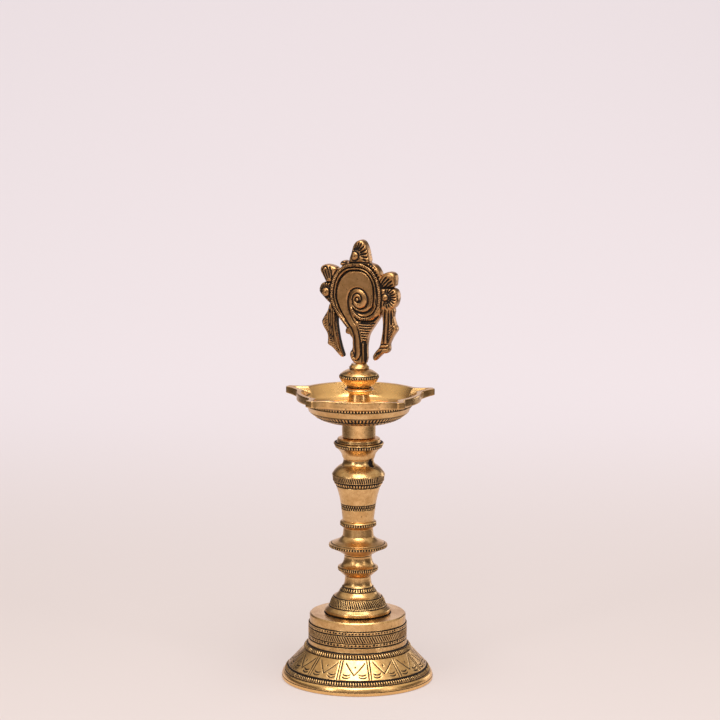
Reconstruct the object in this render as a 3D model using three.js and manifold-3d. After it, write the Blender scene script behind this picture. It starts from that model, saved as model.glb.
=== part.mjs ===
// Free-standing brass oil lamp: a hollow cast foot, a turned stem, a dish with five
// wick beaks and a finial with a conch emblem, screwed together on threaded studs.
// Millimetres, +Z up. The lamp stands on Z = 0 with its axis on Z, and -Y is its front.

import * as THREE from 'three';
import { mergeVertices } from 'three/addons/utils/BufferGeometryUtils.js';
import Module from 'manifold-3d';

const wasm = await Module();
wasm.setup();

// Clearances and cutting
const seatGap = 0.3;
const screwGap = 0.3;
const cutOverrun = 2;
const mergeTolerance = 0.0001;

// Facets round each turned piece, and along each curved stretch of a profile
const baseFacets = 48;
const stemFacets = 28;
const dishFacets = 60;
const knobFacets = 28;
const studFacets = 16;
const curveSteps = 3;

// How far a curved stretch leaves the straight line: towards the corner that is
// reached by rising first (above zero), or by going outwards or inwards first (below)
const swellShare = 0.55;
const softSwellShare = 0.25;
const coveShare = -0.7;
const softCoveShare = -0.35;

// Foot and drum, one hollow casting, from the ground up
const baseWall = 3.6;
const footRadius = 52.2;
const footEdgeRound = 0.7;
const footRimWidth = 4.6;
const footSideHeight = 3.7;
const lowerRopeRadius = 50.9;
const lowerRopeTopRadius = 48.1;
const lowerRopeHeight = 4.9;
const panelFootRadius = 47.4;
const panelFootStep = 1.0;
const panelTopRadius = 37.2;
const panelHeight = 10.9;
const upperRopeRadius = 37.4;
const upperRopeTopRadius = 35.0;
const upperRopeHeight = 3.2;
const drumRadius = 34.0;
const drumFootHeight = 1.2;
const drumSideHeight = 14.7;
const drumTopRadius = 33.0;
const drumTopBandHeight = 4.9;
const drumEdgeRound = 0.8;
const drumRoofThickness = 3.4;

// Stem, one turned casting, from its foot up
const flangeRadius = 22.6;
const flangeHeight = 2.9;
const hatchedBandRadius = 20.0;
const hatchedBandStep = 1.6;
const hatchedBandTopRadius = 17.3;
const hatchedBandHeight = 6.2;
const coneTopRadius = 12.5;
const coneHeight = 4.6;
const lowerBeadTopRadius = 10.6;
const lowerBeadHeight = 3.0;
const lowerNeckRadius = 8.85;
const lowerNeckHeight = 6.9;
const knopRadius = 14.2;
const knopCupHeight = 5.3;
const knopEdgeHeight = 1.0;
const middleNeckRadius = 9.4;
const knopTopHeight = 7.3;
const middleNeckHeight = 1.6;
const discRadius = 20.7;
const discCupRadius = 14.1;
const discCupHeight = 3.3;
const discCupRimHeight = 3.2;
const discEdgeHeight = 0.8;
const discShoulderRadius = 16.2;
const discShoulderHeight = 2.2;
const upperNeckFootRadius = 10.7;
const discTopHeight = 4.2;
const upperNeckRadius = 10.1;
const upperNeckHeight = 5.4;
const ringRadius = 13.4;
const ringRise = 2.7;
const ringEdgeHeight = 0.9;
const ringFall = 1.9;
const vaseFootRadius = 10.7;
const vaseWaistRadius = 11.6;
const vaseFootHeight = 8.1;
const vaseBandRadius = 12.5;
const vaseBandHeight = 3.5;
const vaseNeckRadius = 11.9;
const vaseTopRadius = 15.5;
const vaseHeight = 12.3;
const vaseBeadRadius = 17.4;
const vaseBeadHeight = 3.1;
const shoulderBandRadius = 18.25;
const shoulderBandRise = 2.3;
const shoulderBandHeight = 2.9;
const shoulderRadius = 12.4;
const shoulderHeight = 5.7;
const waistRadius = 10.3;
const waistHeight = 4.0;
const trumpetRadius = 16.9;
const trumpetHeight = 9.2;
const collarRadius = 17.45;
const collarRise = 0.6;
const collarHeight = 1.9;
const stepRingRadius = 14.8;
const stepRingInset = 0.9;
const stepRingHeight = 2.1;
const stemTopRadius = 12.4;
const stemTopHeight = 1.0;

// Oil dish with its neck, post and five beaks, one casting
const dishNeckRadius = 11.5;
const dishNeckHeight = 9.5;
const dishBellyRadius = 22.6;
const dishBellyHeight = 1.7;
const dishCurveRadius = 35.2;
const dishCurveHeight = 6.2;
const dishSideRadius = 38.6;
const dishSideHeight = 6.8;
const lipUndercutHeight = 1.5;
const lipRadius = 42.7;
const lipHeight = 5.3;
const lipInnerRadius = 39.8;
const dishWallRadius = 35.0;
const dishWallHeight = 8.6;
const dishFloorRadius = 26.0;
const dishFloorRise = 5.4;
const dishFloorThickness = 4.4;
const postFootRadius = 10.0;
const postTopRadius = 6.6;
const postBelowLip = 0.2;
const dishTurnDegrees = -3.5;
const beakCount = 5;
const beakReach = 10.5;
const beakTipWidth = 6.0;
const beakRootWidth = 18.0;
const beakTipRise = 0.6;
const beakTipHeight = 4.4;
const spoutRootWidth = 11.0;
const spoutRootDepth = 5.4;
const spoutEndRadius = 46.6;
const spoutEndWidth = 3.4;
const spoutEndDepth = 0.8;

// Finial knob, one turned casting
const seatRingRadius = 9.9;
const seatRingHeight = 3.0;
const seatRingFaceRadius = 8.8;
const knobGrooveRadius = 8.0;
const knobGrooveHeight = 1.1;
const knobCupRadius = 13.1;
const knobCupHeight = 4.2;
const knobRadius = 14.0;
const knobRimRise = 1.2;
const knobRimHeight = 1.7;
const knobShoulderRadius = 8.2;
const knobShoulderHeight = 4.3;
const knobCollarRadius = 7.7;
const knobCollarHeight = 1.6;
const knobTopRadius = 5.1;
const knobTopHeight = 2.4;

// Threaded studs, with the nut and washer under the drum roof
const footStudRadius = 4.0;
const footStudGrip = 13.0;
const footStudEnd = 3.2;
const washerRadius = 9.0;
const washerThickness = 1.6;
const nutAcrossFlats = 13.0;
const nutHeight = 6.5;
const dishStudRadius = 4.0;
const dishStudGrip = 9.4;
const dishStudSink = 11.0;
const knobStudRadius = 3.0;
const knobStudGrip = 9.0;
const knobStudSink = 10.5;
const studEndRoom = 1.0;

// Conch emblem, a casting with the same relief on both faces
const emblemTurnDegrees = 22;
const emblemHeight = 84.9;
const emblemHalfWidth = 28.5;
const emblemThickness = 10.0;
const reliefStep = 0.6;
const pegRadius = 2.5;
const pegLength = 5.0;

// One colour, roughness and metalness for each finish
function metal(color, roughness, metalness) {
  return new THREE.MeshStandardMaterial({ color, roughness, metalness });
}
const polishedBrass = metal(0xc79a4b, 0.28, 1.0);
const antiqueBrass = metal(0x8a6534, 0.42, 1.0);
const plainSteel = metal(0x9a9a96, 0.4, 1.0);

// A turned profile walked from one [radius, height] to the next
class Profile {
  constructor(radius, height) {
    this.points = [new THREE.Vector2(radius, height)];
  }

  get last() {
    return this.points[this.points.length - 1];
  }

  line(radius, rise) {
    this.points.push(new THREE.Vector2(radius, this.last.y + rise));
    return this;
  }

  curve(radius, rise, cornerShare) {
    const start = this.last;
    const end = new THREE.Vector2(radius, start.y + rise);
    const corner = cornerShare > 0
      ? new THREE.Vector2(start.x, end.y)
      : new THREE.Vector2(end.x, start.y);
    const middle = start.clone().add(end).multiplyScalar(1 / 2);
    const control = middle.lerp(corner, Math.abs(cornerShare));
    const bend = new THREE.QuadraticBezierCurve(start, control, end);
    this.points.push(...bend.getPoints(curveSteps).slice(1));
    return this;
  }

  heightAt(height) {
    this.points.push(new THREE.Vector2(this.last.x, height));
    return this;
  }
}

// A solid of revolution: its profile runs anticlockwise and ends where it begins
function turned(profile, facets) {
  const points = profile.points.slice();
  const onAxis = points[0].x === 0 && points[points.length - 1].x === 0;
  if (!onAxis) points.push(points[0].clone());
  const geometry = new THREE.LatheGeometry(points, facets);
  return geometry.rotateX(Math.PI / 2);
}

// An outline in the XY plane raised from z = low by height
function raised(shape, low, height, steps = curveSteps) {
  const geometry = new THREE.ExtrudeGeometry(shape, {
    depth: height, bevelEnabled: false, curveSegments: steps,
  });
  return geometry.translate(0, 0, low);
}

function merged(geometry) {
  const bare = geometry.clone();
  bare.deleteAttribute('normal');
  bare.deleteAttribute('uv');
  return mergeVertices(bare, mergeTolerance);
}

function solidOf(geometry) {
  const { attributes, index } = merged(geometry);
  const mesh = new wasm.Mesh({
    numProp: 3,
    vertProperties: new Float32Array(attributes.position.array),
    triVerts: new Uint32Array(index.array),
  });
  return new wasm.Manifold(mesh);
}

function geometryOf(solid) {
  const { numProp, vertProperties, triVerts } = solid.getMesh();
  const geometry = new THREE.BufferGeometry();
  const positions = new Float32Array(vertProperties.length / numProp * 3);
  for (let vertex = 0; vertex < vertProperties.length / numProp; vertex += 1) {
    for (let axis = 0; axis < 3; axis += 1) {
      positions[vertex * 3 + axis] = vertProperties[vertex * numProp + axis];
    }
  }
  geometry.setAttribute('position', new THREE.BufferAttribute(positions, 3));
  geometry.setIndex(new THREE.BufferAttribute(new Uint32Array(triVerts), 1));
  geometry.computeVertexNormals();
  return geometry;
}

// Foot and drum: the outer profile goes up, the hollow inside comes back down
const baseProfile = new Profile(footRadius - footRimWidth, 0)
  .line(footRadius - footEdgeRound, 0)
  .line(footRadius, footEdgeRound)
  .line(footRadius - footEdgeRound, footSideHeight)
  .line(lowerRopeRadius, 0)
  .curve(lowerRopeTopRadius, lowerRopeHeight, swellShare)
  .line(panelFootRadius, panelFootStep);
const panelFootLevel = baseProfile.last.y;
baseProfile.line(panelTopRadius, panelHeight);
const panelTopLevel = baseProfile.last.y;
baseProfile
  .line(upperRopeRadius, 0)
  .curve(upperRopeTopRadius, upperRopeHeight, swellShare)
  .line(drumRadius, drumFootHeight);
const drumFootLevel = baseProfile.last.y;
baseProfile
  .line(drumRadius, drumSideHeight)
  .line(drumTopRadius, 0)
  .line(drumTopRadius, drumTopBandHeight)
  .line(drumTopRadius - drumEdgeRound, drumEdgeRound);
const drumTopLevel = baseProfile.last.y;
const drumRoofLevel = drumTopLevel - drumRoofThickness;

function baseShell() {
  const slopeWall = baseWall * Math.hypot(1, (panelFootRadius - panelTopRadius) / panelHeight);
  baseProfile
    .line(footStudRadius + screwGap, 0)
    .heightAt(drumRoofLevel)
    .line(drumRadius - baseWall, 0)
    .heightAt(drumFootLevel)
    .line(panelTopRadius - slopeWall, panelTopLevel - drumFootLevel)
    .line(panelFootRadius - slopeWall, panelFootLevel - panelTopLevel)
    .line(footRadius - footRimWidth, footSideHeight - panelFootLevel);
  return turned(baseProfile, baseFacets);
}

// Stem: it starts inside its foot hole and ends inside the hole for the dish stud
const stemFootLevel = drumTopLevel + seatGap;
const footHoleTop = stemFootLevel + footStudGrip + studEndRoom;

const stemProfile = new Profile(0, footHoleTop)
  .line(footStudRadius + screwGap, 0)
  .heightAt(stemFootLevel)
  .line(flangeRadius, 0)
  .line(flangeRadius, flangeHeight)
  .curve(hatchedBandRadius, hatchedBandStep, coveShare)
  .curve(hatchedBandTopRadius, hatchedBandHeight, softSwellShare)
  .curve(coneTopRadius, coneHeight, softCoveShare)
  .line(lowerBeadTopRadius, lowerBeadHeight)
  .curve(lowerNeckRadius, lowerNeckHeight, coveShare)
  .line(knopRadius, knopCupHeight)
  .line(knopRadius, knopEdgeHeight)
  .curve(middleNeckRadius, knopTopHeight, coveShare)
  .line(middleNeckRadius, middleNeckHeight)
  .line(discCupRadius, discCupHeight)
  .line(discRadius, discCupRimHeight)
  .line(discRadius, discEdgeHeight)
  .line(discShoulderRadius, discShoulderHeight)
  .curve(upperNeckFootRadius, discTopHeight, softCoveShare)
  .line(upperNeckRadius, upperNeckHeight)
  .line(ringRadius, ringRise)
  .line(ringRadius, ringEdgeHeight)
  .line(vaseFootRadius, ringFall)
  .line(vaseWaistRadius, vaseFootHeight)
  .line(vaseBandRadius, 0)
  .line(vaseBandRadius, vaseBandHeight)
  .line(vaseNeckRadius, 0)
  .curve(vaseTopRadius, vaseHeight, softSwellShare)
  .line(vaseBeadRadius, vaseBeadHeight)
  .line(shoulderBandRadius, shoulderBandRise)
  .line(shoulderBandRadius, shoulderBandHeight)
  .curve(shoulderRadius, shoulderHeight, softSwellShare)
  .curve(waistRadius, waistHeight, coveShare)
  .curve(trumpetRadius, trumpetHeight, softSwellShare)
  .line(collarRadius, collarRise)
  .line(collarRadius, collarHeight)
  .line(stepRingRadius, stepRingInset)
  .line(stepRingRadius, stepRingHeight)
  .line(stemTopRadius, stemTopHeight);
const stemTopLevel = stemProfile.last.y;

function stem() {
  stemProfile
    .line(dishStudRadius + screwGap, 0)
    .heightAt(stemTopLevel - dishStudGrip - studEndRoom)
    .line(0, 0);
  return turned(stemProfile, stemFacets);
}

// Oil dish: one turned body, plus the beaks round its lip, less their hollow spouts
const dishFootLevel = stemTopLevel + seatGap;
const dishHoleTop = dishFootLevel + dishStudSink + studEndRoom;

const dishProfile = new Profile(0, dishHoleTop)
  .line(dishStudRadius + screwGap, 0)
  .heightAt(dishFootLevel)
  .line(dishNeckRadius, 0)
  .line(dishNeckRadius, dishNeckHeight);
const dishFloorLevel = dishProfile.last.y + dishFloorThickness;
dishProfile
  .line(dishBellyRadius, dishBellyHeight)
  .curve(dishCurveRadius, dishCurveHeight, coveShare / 2)
  .line(dishSideRadius, dishSideHeight)
  .line(lipRadius, lipUndercutHeight);
const lipFootLevel = dishProfile.last.y;
const lipLevel = lipFootLevel + lipHeight;
const postLevel = lipLevel - postBelowLip;
const beakTipRadius = lipRadius + beakReach;
const beakTopLevel = lipLevel + beakTipRise;

function dishBody() {
  dishProfile
    .heightAt(lipLevel)
    .line(lipInnerRadius, 0)
    .curve(dishWallRadius, -dishWallHeight, softSwellShare / 2)
    .curve(dishFloorRadius, -dishFloorRise, softSwellShare / 2)
    .curve(postFootRadius, dishFloorLevel - dishProfile.last.y, coveShare / 2)
    .line(postTopRadius, postLevel - dishFloorLevel)
    .line(knobStudRadius + screwGap, 0)
    .heightAt(postLevel - knobStudSink - studEndRoom)
    .line(0, 0);
  return turned(dishProfile, dishFacets);
}

// A plan along +X that narrows evenly from its root to its end
function narrowing(rootRadius, rootWidth, endRadius, endWidth) {
  const plan = new THREE.Shape();
  plan.moveTo(rootRadius, -rootWidth / 2);
  plan.lineTo(endRadius, -endWidth / 2);
  plan.lineTo(endRadius, endWidth / 2);
  plan.lineTo(rootRadius, rootWidth / 2);
  plan.closePath();
  return plan;
}

// The form that fills both a plan and a side view
function filling(plan, side) {
  const sideSolid = raised(side, -beakRootWidth, 2 * beakRootWidth).rotateX(Math.PI / 2);
  const planSolid = raised(plan, lipFootLevel - cutOverrun, lipHeight + 2 * cutOverrun);
  return solidOf(planSolid).intersect(solidOf(sideSolid));
}

// A beak thins and rises a little towards its blunt tip
function beak() {
  const rootRadius = (lipInnerRadius + lipRadius) / 2;
  const side = new THREE.Shape();
  side.moveTo(rootRadius - cutOverrun, lipFootLevel);
  side.lineTo(rootRadius, lipFootLevel);
  side.lineTo(beakTipRadius + cutOverrun, beakTopLevel - beakTipHeight);
  side.lineTo(beakTipRadius + cutOverrun, beakTopLevel);
  side.lineTo(beakTipRadius, beakTopLevel);
  side.lineTo(rootRadius, lipLevel);
  side.lineTo(rootRadius - cutOverrun, lipLevel);
  side.closePath();
  return filling(narrowing(rootRadius, beakRootWidth, beakTipRadius, beakTipWidth), side);
}

// The hollow spout in a beak opens from the bowl, and its floor rises towards the tip
function spout() {
  const side = new THREE.Shape();
  side.moveTo(dishWallRadius, lipLevel - spoutRootDepth);
  side.lineTo(spoutEndRadius, lipLevel - spoutEndDepth);
  side.lineTo(spoutEndRadius, lipLevel + cutOverrun);
  side.lineTo(dishWallRadius, lipLevel + cutOverrun);
  side.closePath();
  return filling(narrowing(dishWallRadius, spoutRootWidth, spoutEndRadius, spoutEndWidth), side);
}

function oilDish() {
  let dish = solidOf(dishBody());
  for (let index = 0; index < beakCount; index += 1) {
    const fromFront = (index + 1 / 2) * 360 / beakCount;
    const turn = fromFront + dishTurnDegrees - 90;
    dish = dish.add(beak().rotate([0, 0, turn]));
    dish = dish.subtract(spout().rotate([0, 0, turn]));
  }
  return geometryOf(dish);
}

// Finial knob, from the ring that seats on the post to the collar under the emblem
const knobFootLevel = postLevel + seatGap;
const knobHoleTop = knobFootLevel + knobStudGrip + studEndRoom;

const knobProfile = new Profile(0, knobHoleTop)
  .line(knobStudRadius + screwGap, 0)
  .heightAt(knobFootLevel)
  .line(seatRingFaceRadius, 0)
  .line(seatRingRadius, (seatRingHeight - (seatRingRadius - seatRingFaceRadius)) / 2)
  .line(seatRingRadius, seatRingRadius - seatRingFaceRadius)
  .line(seatRingFaceRadius, (seatRingHeight - (seatRingRadius - seatRingFaceRadius)) / 2)
  .line(knobGrooveRadius, 0)
  .line(knobGrooveRadius, knobGrooveHeight)
  .curve(knobCupRadius, knobCupHeight, coveShare / 2)
  .line(knobRadius, knobRimRise)
  .line(knobRadius, knobRimHeight)
  .curve(knobShoulderRadius, knobShoulderHeight, softSwellShare)
  .line(knobCollarRadius, 0)
  .line(knobCollarRadius, knobCollarHeight)
  .curve(knobTopRadius, knobTopHeight, softCoveShare);
const knobTopLevel = knobProfile.last.y;

function finialKnob() {
  knobProfile
    .line(pegRadius + screwGap, 0)
    .heightAt(knobTopLevel - pegLength - seatGap)
    .line(0, 0);
  return turned(knobProfile, knobFacets);
}

// Plain round pieces: studs, washer and nut
function rod(radius, low, high) {
  const profile = new Profile(0, low).line(radius, 0).heightAt(high).line(0, 0);
  return turned(profile, studFacets);
}

function ringShape(outline, holeRadius) {
  const hole = new THREE.Path();
  hole.absarc(0, 0, holeRadius, 0, 2 * Math.PI, true);
  outline.holes.push(hole);
  return outline;
}

const washerLevel = drumRoofLevel - seatGap - washerThickness;
const nutLevel = washerLevel - seatGap - nutHeight;

function baseWasher() {
  const outline = new THREE.Shape().absarc(0, 0, washerRadius, 0, 2 * Math.PI, false);
  const ring = ringShape(outline, footStudRadius + screwGap);
  return raised(ring, washerLevel, washerThickness, studFacets);
}

function baseNut() {
  const corner = nutAcrossFlats / 2 / Math.cos(Math.PI / 6);
  const outline = new THREE.Shape();
  for (let side = 0; side < 6; side += 1) {
    const angle = side * Math.PI / 3;
    const point = new THREE.Vector2(Math.cos(angle), Math.sin(angle)).multiplyScalar(corner);
    if (side === 0) outline.moveTo(point.x, point.y);
    else outline.lineTo(point.x, point.y);
  }
  outline.closePath();
  return raised(ringShape(outline, footStudRadius + screwGap), nutLevel, nutHeight, studFacets);
}

// Conch emblem. Places on it are shares of its half width and of its height, from the
// middle of its foot. Each form goes right through, so both faces show it.
const shellShares = [
  [-0.161, 0.000], [-0.189, 0.052], [-0.119, 0.122], [-0.105, 0.187], [-0.182, 0.252],
  [-0.316, 0.311], [-0.456, 0.376], [-0.575, 0.446], [-0.646, 0.523], [-0.656, 0.600],
  [-0.607, 0.682], [-0.491, 0.759], [-0.298, 0.817], [-0.042, 0.837], [0.218, 0.819],
  [0.414, 0.762], [0.533, 0.682], [0.575, 0.594], [0.561, 0.499], [0.498, 0.417],
  [0.386, 0.335], [0.295, 0.258], [0.253, 0.176], [0.225, 0.105], [0.232, 0.046],
  [0.196, 0.000],
];
const canalShares = [
  [-0.509, 0.464], [-0.372, 0.388], [-0.225, 0.335], [-0.102, 0.282], [-0.014, 0.223],
  [0.028, 0.152], [0.021, 0.081], [-0.042, 0.041], [-0.126, 0.045], [-0.151, 0.074],
];
const petalShares = {
  top: [
    [-0.253, 0.817], [-0.225, 0.870], [-0.154, 0.939], [-0.063, 0.987], [0.049, 1.000],
    [0.161, 0.976], [0.225, 0.922], [0.253, 0.865], [0.260, 0.817],
  ],
  upperLeft: [
    [-0.575, 0.680], [-0.754, 0.677], [-0.898, 0.713], [-0.958, 0.753], [-0.870, 0.786],
    [-0.751, 0.779], [-0.639, 0.748], [-0.530, 0.720],
  ],
  lowerLeft: [
    [-0.590, 0.661], [-0.828, 0.654], [-0.954, 0.616], [-0.996, 0.571], [-0.940, 0.529],
    [-0.814, 0.496], [-0.723, 0.472], [-0.590, 0.488],
  ],
  upperRight: [
    [0.480, 0.700], [0.653, 0.741], [0.786, 0.760], [0.912, 0.746], [0.933, 0.698],
    [0.884, 0.662], [0.702, 0.657], [0.500, 0.657],
  ],
  lowerRight: [
    [0.520, 0.640], [0.737, 0.643], [0.919, 0.636], [0.996, 0.595], [0.989, 0.529],
    [0.898, 0.484], [0.737, 0.465], [0.520, 0.476],
  ],
};
const leafShares = {
  left: [
    [-0.228, 0.828], [-0.400, 0.830], [-0.463, 0.795], [-0.547, 0.755], [-0.420, 0.735],
    [-0.280, 0.780],
  ],
  right: [
    [0.193, 0.819], [0.344, 0.830], [0.498, 0.807], [0.575, 0.762], [0.500, 0.710],
    [0.340, 0.750],
  ],
};
const ribbonShares = {
  left: [
    [-0.560, 0.520], [-0.716, 0.482], [-0.779, 0.418], [-0.919, 0.336], [-0.828, 0.274],
    [-0.751, 0.206], [-0.768, 0.143], [-0.589, 0.100], [-0.470, 0.058], [-0.330, 0.048],
    [-0.291, 0.077], [-0.358, 0.152], [-0.435, 0.246], [-0.456, 0.340], [-0.547, 0.411],
  ],
  right: [
    [0.530, 0.520], [0.600, 0.411], [0.667, 0.329], [0.625, 0.234], [0.554, 0.150],
    [0.435, 0.098], [0.396, 0.060], [0.470, 0.041], [0.611, 0.077], [0.807, 0.112],
    [0.835, 0.187], [0.933, 0.298], [0.870, 0.371], [0.891, 0.500],
  ],
};
const pleatShares = {
  left: [[-0.700, 0.430], [-0.690, 0.300], [-0.560, 0.150], [-0.400, 0.075]],
  right: [[0.760, 0.430], [0.760, 0.300], [0.680, 0.170], [0.500, 0.080]],
};
const bossShares = [
  { petal: 'top', centre: [-0.084, 0.875], radius: 0.095, rays: [105, 85, 65, 45, 25, 5] },
  { petal: 'lowerLeft', centre: [-0.828, 0.574], radius: 0.088, rays: [110, 80, -80, -110] },
  { petal: 'lowerRight', centre: [0.709, 0.545], radius: 0.077, rays: [60, 35, 12, -12, -35, -60] },
];
const rayReachShare = 0.40;
const ringCentreShare = [-0.042, 0.588];
const ringAcrossShare = 0.600;
const ringUpShare = 0.232;
const ringWidthShare = 0.110;
const whorlCentreShare = [0.004, 0.529];
const whorlRadiusShare = 0.262;
const whorlTurns = 2.25;
const whorlBandShare = 0.55;
const whorlBossShare = 0.056;
const canalWidthShare = 0.120;
const pleatWidthShare = 0.060;
const rayWidthShare = 0.036;
const nubShare = { centre: [-0.268, 0.268], radius: 0.060 };
const ribCount = 7;
const ribSpanShares = { foot: 0.200, top: 0.362, height: 0.012 };
const outlineSteps = 30;
const ringSteps = 36;
const whorlStepsPerTurn = 14;
const bossFacets = 10;

function emblemPlace([across, up]) {
  return new THREE.Vector2(across * emblemHalfWidth, up * emblemHeight);
}

function smoothLine(shares, closed, steps) {
  const places = shares.map(emblemPlace).map((place) => new THREE.Vector3(place.x, place.y, 0));
  const curve = new THREE.CatmullRomCurve3(places, closed, 'centripetal');
  return curve.getPoints(steps).map((point) => new THREE.Vector2(point.x, point.y));
}

// The band that a line of the given width covers, with square ends
function bandAlong(line, width) {
  const sides = [[], []];
  line.forEach((point, index) => {
    const before = line[Math.max(0, index - 1)];
    const after = line[Math.min(line.length - 1, index + 1)];
    const along = after.clone().sub(before).normalize();
    const across = new THREE.Vector2(-along.y, along.x).multiplyScalar(width / 2);
    sides[0].push(point.clone().sub(across));
    sides[1].unshift(point.clone().add(across));
  });
  return [...sides[0], ...sides[1]];
}

// A form as thick as the emblem less its depth below the top of the relief, which is
// counted in relief steps
function layer(points, depthSteps) {
  const outline = points.slice();
  if (outline[0].distanceTo(outline[outline.length - 1]) < mergeTolerance) outline.pop();
  if (THREE.ShapeUtils.area(outline) < 0) outline.reverse();
  const thickness = emblemThickness - 2 * depthSteps * reliefStep;
  return solidOf(raised(new THREE.Shape(outline), -thickness / 2, thickness));
}

function disc(centreShare, radius, depthSteps) {
  const centre = emblemPlace(centreShare);
  const points = [];
  for (let step = 0; step < bossFacets; step += 1) {
    const angle = 2 * Math.PI * step / bossFacets;
    points.push(new THREE.Vector2(
      centre.x + radius * Math.cos(angle),
      centre.y + radius * Math.sin(angle),
    ));
  }
  return layer(points, depthSteps);
}

function shellRing() {
  const centre = emblemPlace(ringCentreShare);
  const across = ringAcrossShare * emblemHalfWidth;
  const up = ringUpShare * emblemHeight;
  const width = ringWidthShare * emblemHalfWidth;
  const oval = (inset) => {
    const points = [];
    for (let step = 0; step < ringSteps; step += 1) {
      const angle = 2 * Math.PI * step / ringSteps;
      points.push(new THREE.Vector2(
        centre.x + (across - inset) * Math.cos(angle),
        centre.y + (up - inset) * Math.sin(angle),
      ));
    }
    return points;
  };
  return layer(oval(0), 0).subtract(layer(oval(width), -1));
}

function whorl() {
  const centre = emblemPlace(whorlCentreShare);
  const radius = whorlRadiusShare * emblemHalfWidth;
  const pitch = radius / whorlTurns;
  const steps = Math.round(whorlTurns * whorlStepsPerTurn);
  const line = [];
  for (let step = 2; step <= steps; step += 1) {
    const angle = 2 * Math.PI * step / whorlStepsPerTurn;
    const reach = pitch * step / whorlStepsPerTurn;
    line.push(new THREE.Vector2(
      centre.x - reach * Math.sin(angle),
      centre.y - reach * Math.cos(angle),
    ));
  }
  return layer(bandAlong(line, pitch * whorlBandShare), 0)
    .add(disc(whorlCentreShare, whorlBossShare * emblemHalfWidth, 0));
}

// Ribs lie across the shell's narrow end, from the canal to the shell's right edge
function ribs() {
  const canalEdge = smoothLine(canalShares, false, outlineSteps);
  const edge = smoothLine(shellShares, false, 2 * outlineSteps)
    .filter((point) => point.x > 0 && point.y < ringCentreShare[1] * emblemHeight);
  const acrossAt = (line, height) => line.reduce((best, point) => (
    Math.abs(point.y - height) < Math.abs(best.y - height) ? point : best
  )).x;
  const thick = ribSpanShares.height * emblemHeight;
  const solids = [];
  for (let rib = 0; rib < ribCount; rib += 1) {
    const share = ribSpanShares.foot
      + (ribSpanShares.top - ribSpanShares.foot) * rib / (ribCount - 1);
    const height = share * emblemHeight;
    const left = acrossAt(canalEdge, height);
    const right = acrossAt(edge, height) - thick;
    solids.push(layer([
      new THREE.Vector2(left, height - thick / 2),
      new THREE.Vector2(right, height - thick / 2),
      new THREE.Vector2(right, height + thick / 2),
      new THREE.Vector2(left, height + thick / 2),
    ], 1));
  }
  return solids;
}

function petalLayer(shares, depthSteps) {
  return layer(smoothLine(shares, true, outlineSteps / 2), depthSteps);
}

// Rays fan out from a boss and end at the edge of its petal
function petalRays({ petal, centre, radius, rays }) {
  const middle = emblemPlace(centre);
  const inner = radius * emblemHalfWidth;
  const outer = rayReachShare * emblemHalfWidth;
  const half = rayWidthShare * emblemHalfWidth / 2;
  const fan = rays.map((degrees) => {
    const angle = THREE.MathUtils.degToRad(degrees);
    const along = new THREE.Vector2(Math.cos(angle), Math.sin(angle));
    const across = new THREE.Vector2(-along.y, along.x);
    const at = (distance, side) => middle.clone()
      .addScaledVector(along, distance)
      .addScaledVector(across, side);
    return layer([
      at(inner / 2, -half / 2), at(outer, -half), at(outer, half), at(inner / 2, half / 2),
    ], 1);
  });
  return wasm.Manifold.union(fan).intersect(petalLayer(petalShares[petal], 0));
}

function canal() {
  const line = smoothLine(canalShares, false, outlineSteps / 2);
  return layer(bandAlong(line, canalWidthShare * emblemHalfWidth), 0);
}

function pleat(shares) {
  const line = smoothLine(shares, false, outlineSteps / 3);
  return layer(bandAlong(line, pleatWidthShare * emblemHalfWidth), 2);
}

function emblemPeg() {
  const peg = new Profile(0, -pegLength).line(pegRadius, 0).heightAt(pegRadius).line(0, 0);
  return solidOf(turned(peg, studFacets).rotateX(-Math.PI / 2));
}

function conchEmblem() {
  const forms = [
    layer(smoothLine(shellShares, false, outlineSteps), 2),
    shellRing(),
    whorl(),
    canal(),
    ...ribs(),
    disc(nubShare.centre, nubShare.radius * emblemHalfWidth, 2),
    ...Object.values(petalShares).map((shares) => petalLayer(shares, 2)),
    ...Object.values(leafShares).map((shares) => petalLayer(shares, 1)),
    ...Object.values(ribbonShares).map((shares) => layer(smoothLine(shares, true, outlineSteps), 3)),
    ...Object.values(pleatShares).map((shares) => pleat(shares)),
    ...bossShares.map((boss) => petalRays(boss)),
    ...bossShares.map((boss) => disc(boss.centre, boss.radius * emblemHalfWidth, 0)),
    emblemPeg(),
  ];
  const solid = wasm.Manifold.union(forms);
  return geometryOf(solid).rotateX(Math.PI / 2);
}

// Assembly
function piece(name, geometry, material) {
  const mesh = new THREE.Mesh(geometry, material);
  mesh.name = name;
  return mesh;
}

const lamp = new THREE.Group();
lamp.add(
  piece('base_shell', baseShell(), polishedBrass),
  piece('stem', stem(), polishedBrass),
  piece('stem_foot_stud', rod(
    footStudRadius,
    nutLevel - footStudEnd,
    stemFootLevel + footStudGrip,
  ), plainSteel),
  piece('base_washer', baseWasher(), plainSteel),
  piece('base_nut', baseNut(), plainSteel),
  piece('dish_stud', rod(
    dishStudRadius,
    stemTopLevel - dishStudGrip,
    dishFootLevel + dishStudSink,
  ), plainSteel),
  piece('oil_dish', oilDish(), polishedBrass),
  piece('finial_stud', rod(
    knobStudRadius,
    postLevel - knobStudSink,
    knobFootLevel + knobStudGrip,
  ), plainSteel),
  piece('finial_knob', finialKnob(), polishedBrass),
);

const emblem = piece('conch_emblem', conchEmblem(), antiqueBrass);
emblem.position.z = knobTopLevel + seatGap;
emblem.rotation.z = THREE.MathUtils.degToRad(-emblemTurnDegrees);
lamp.add(emblem);

export default lamp;
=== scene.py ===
import math

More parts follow.
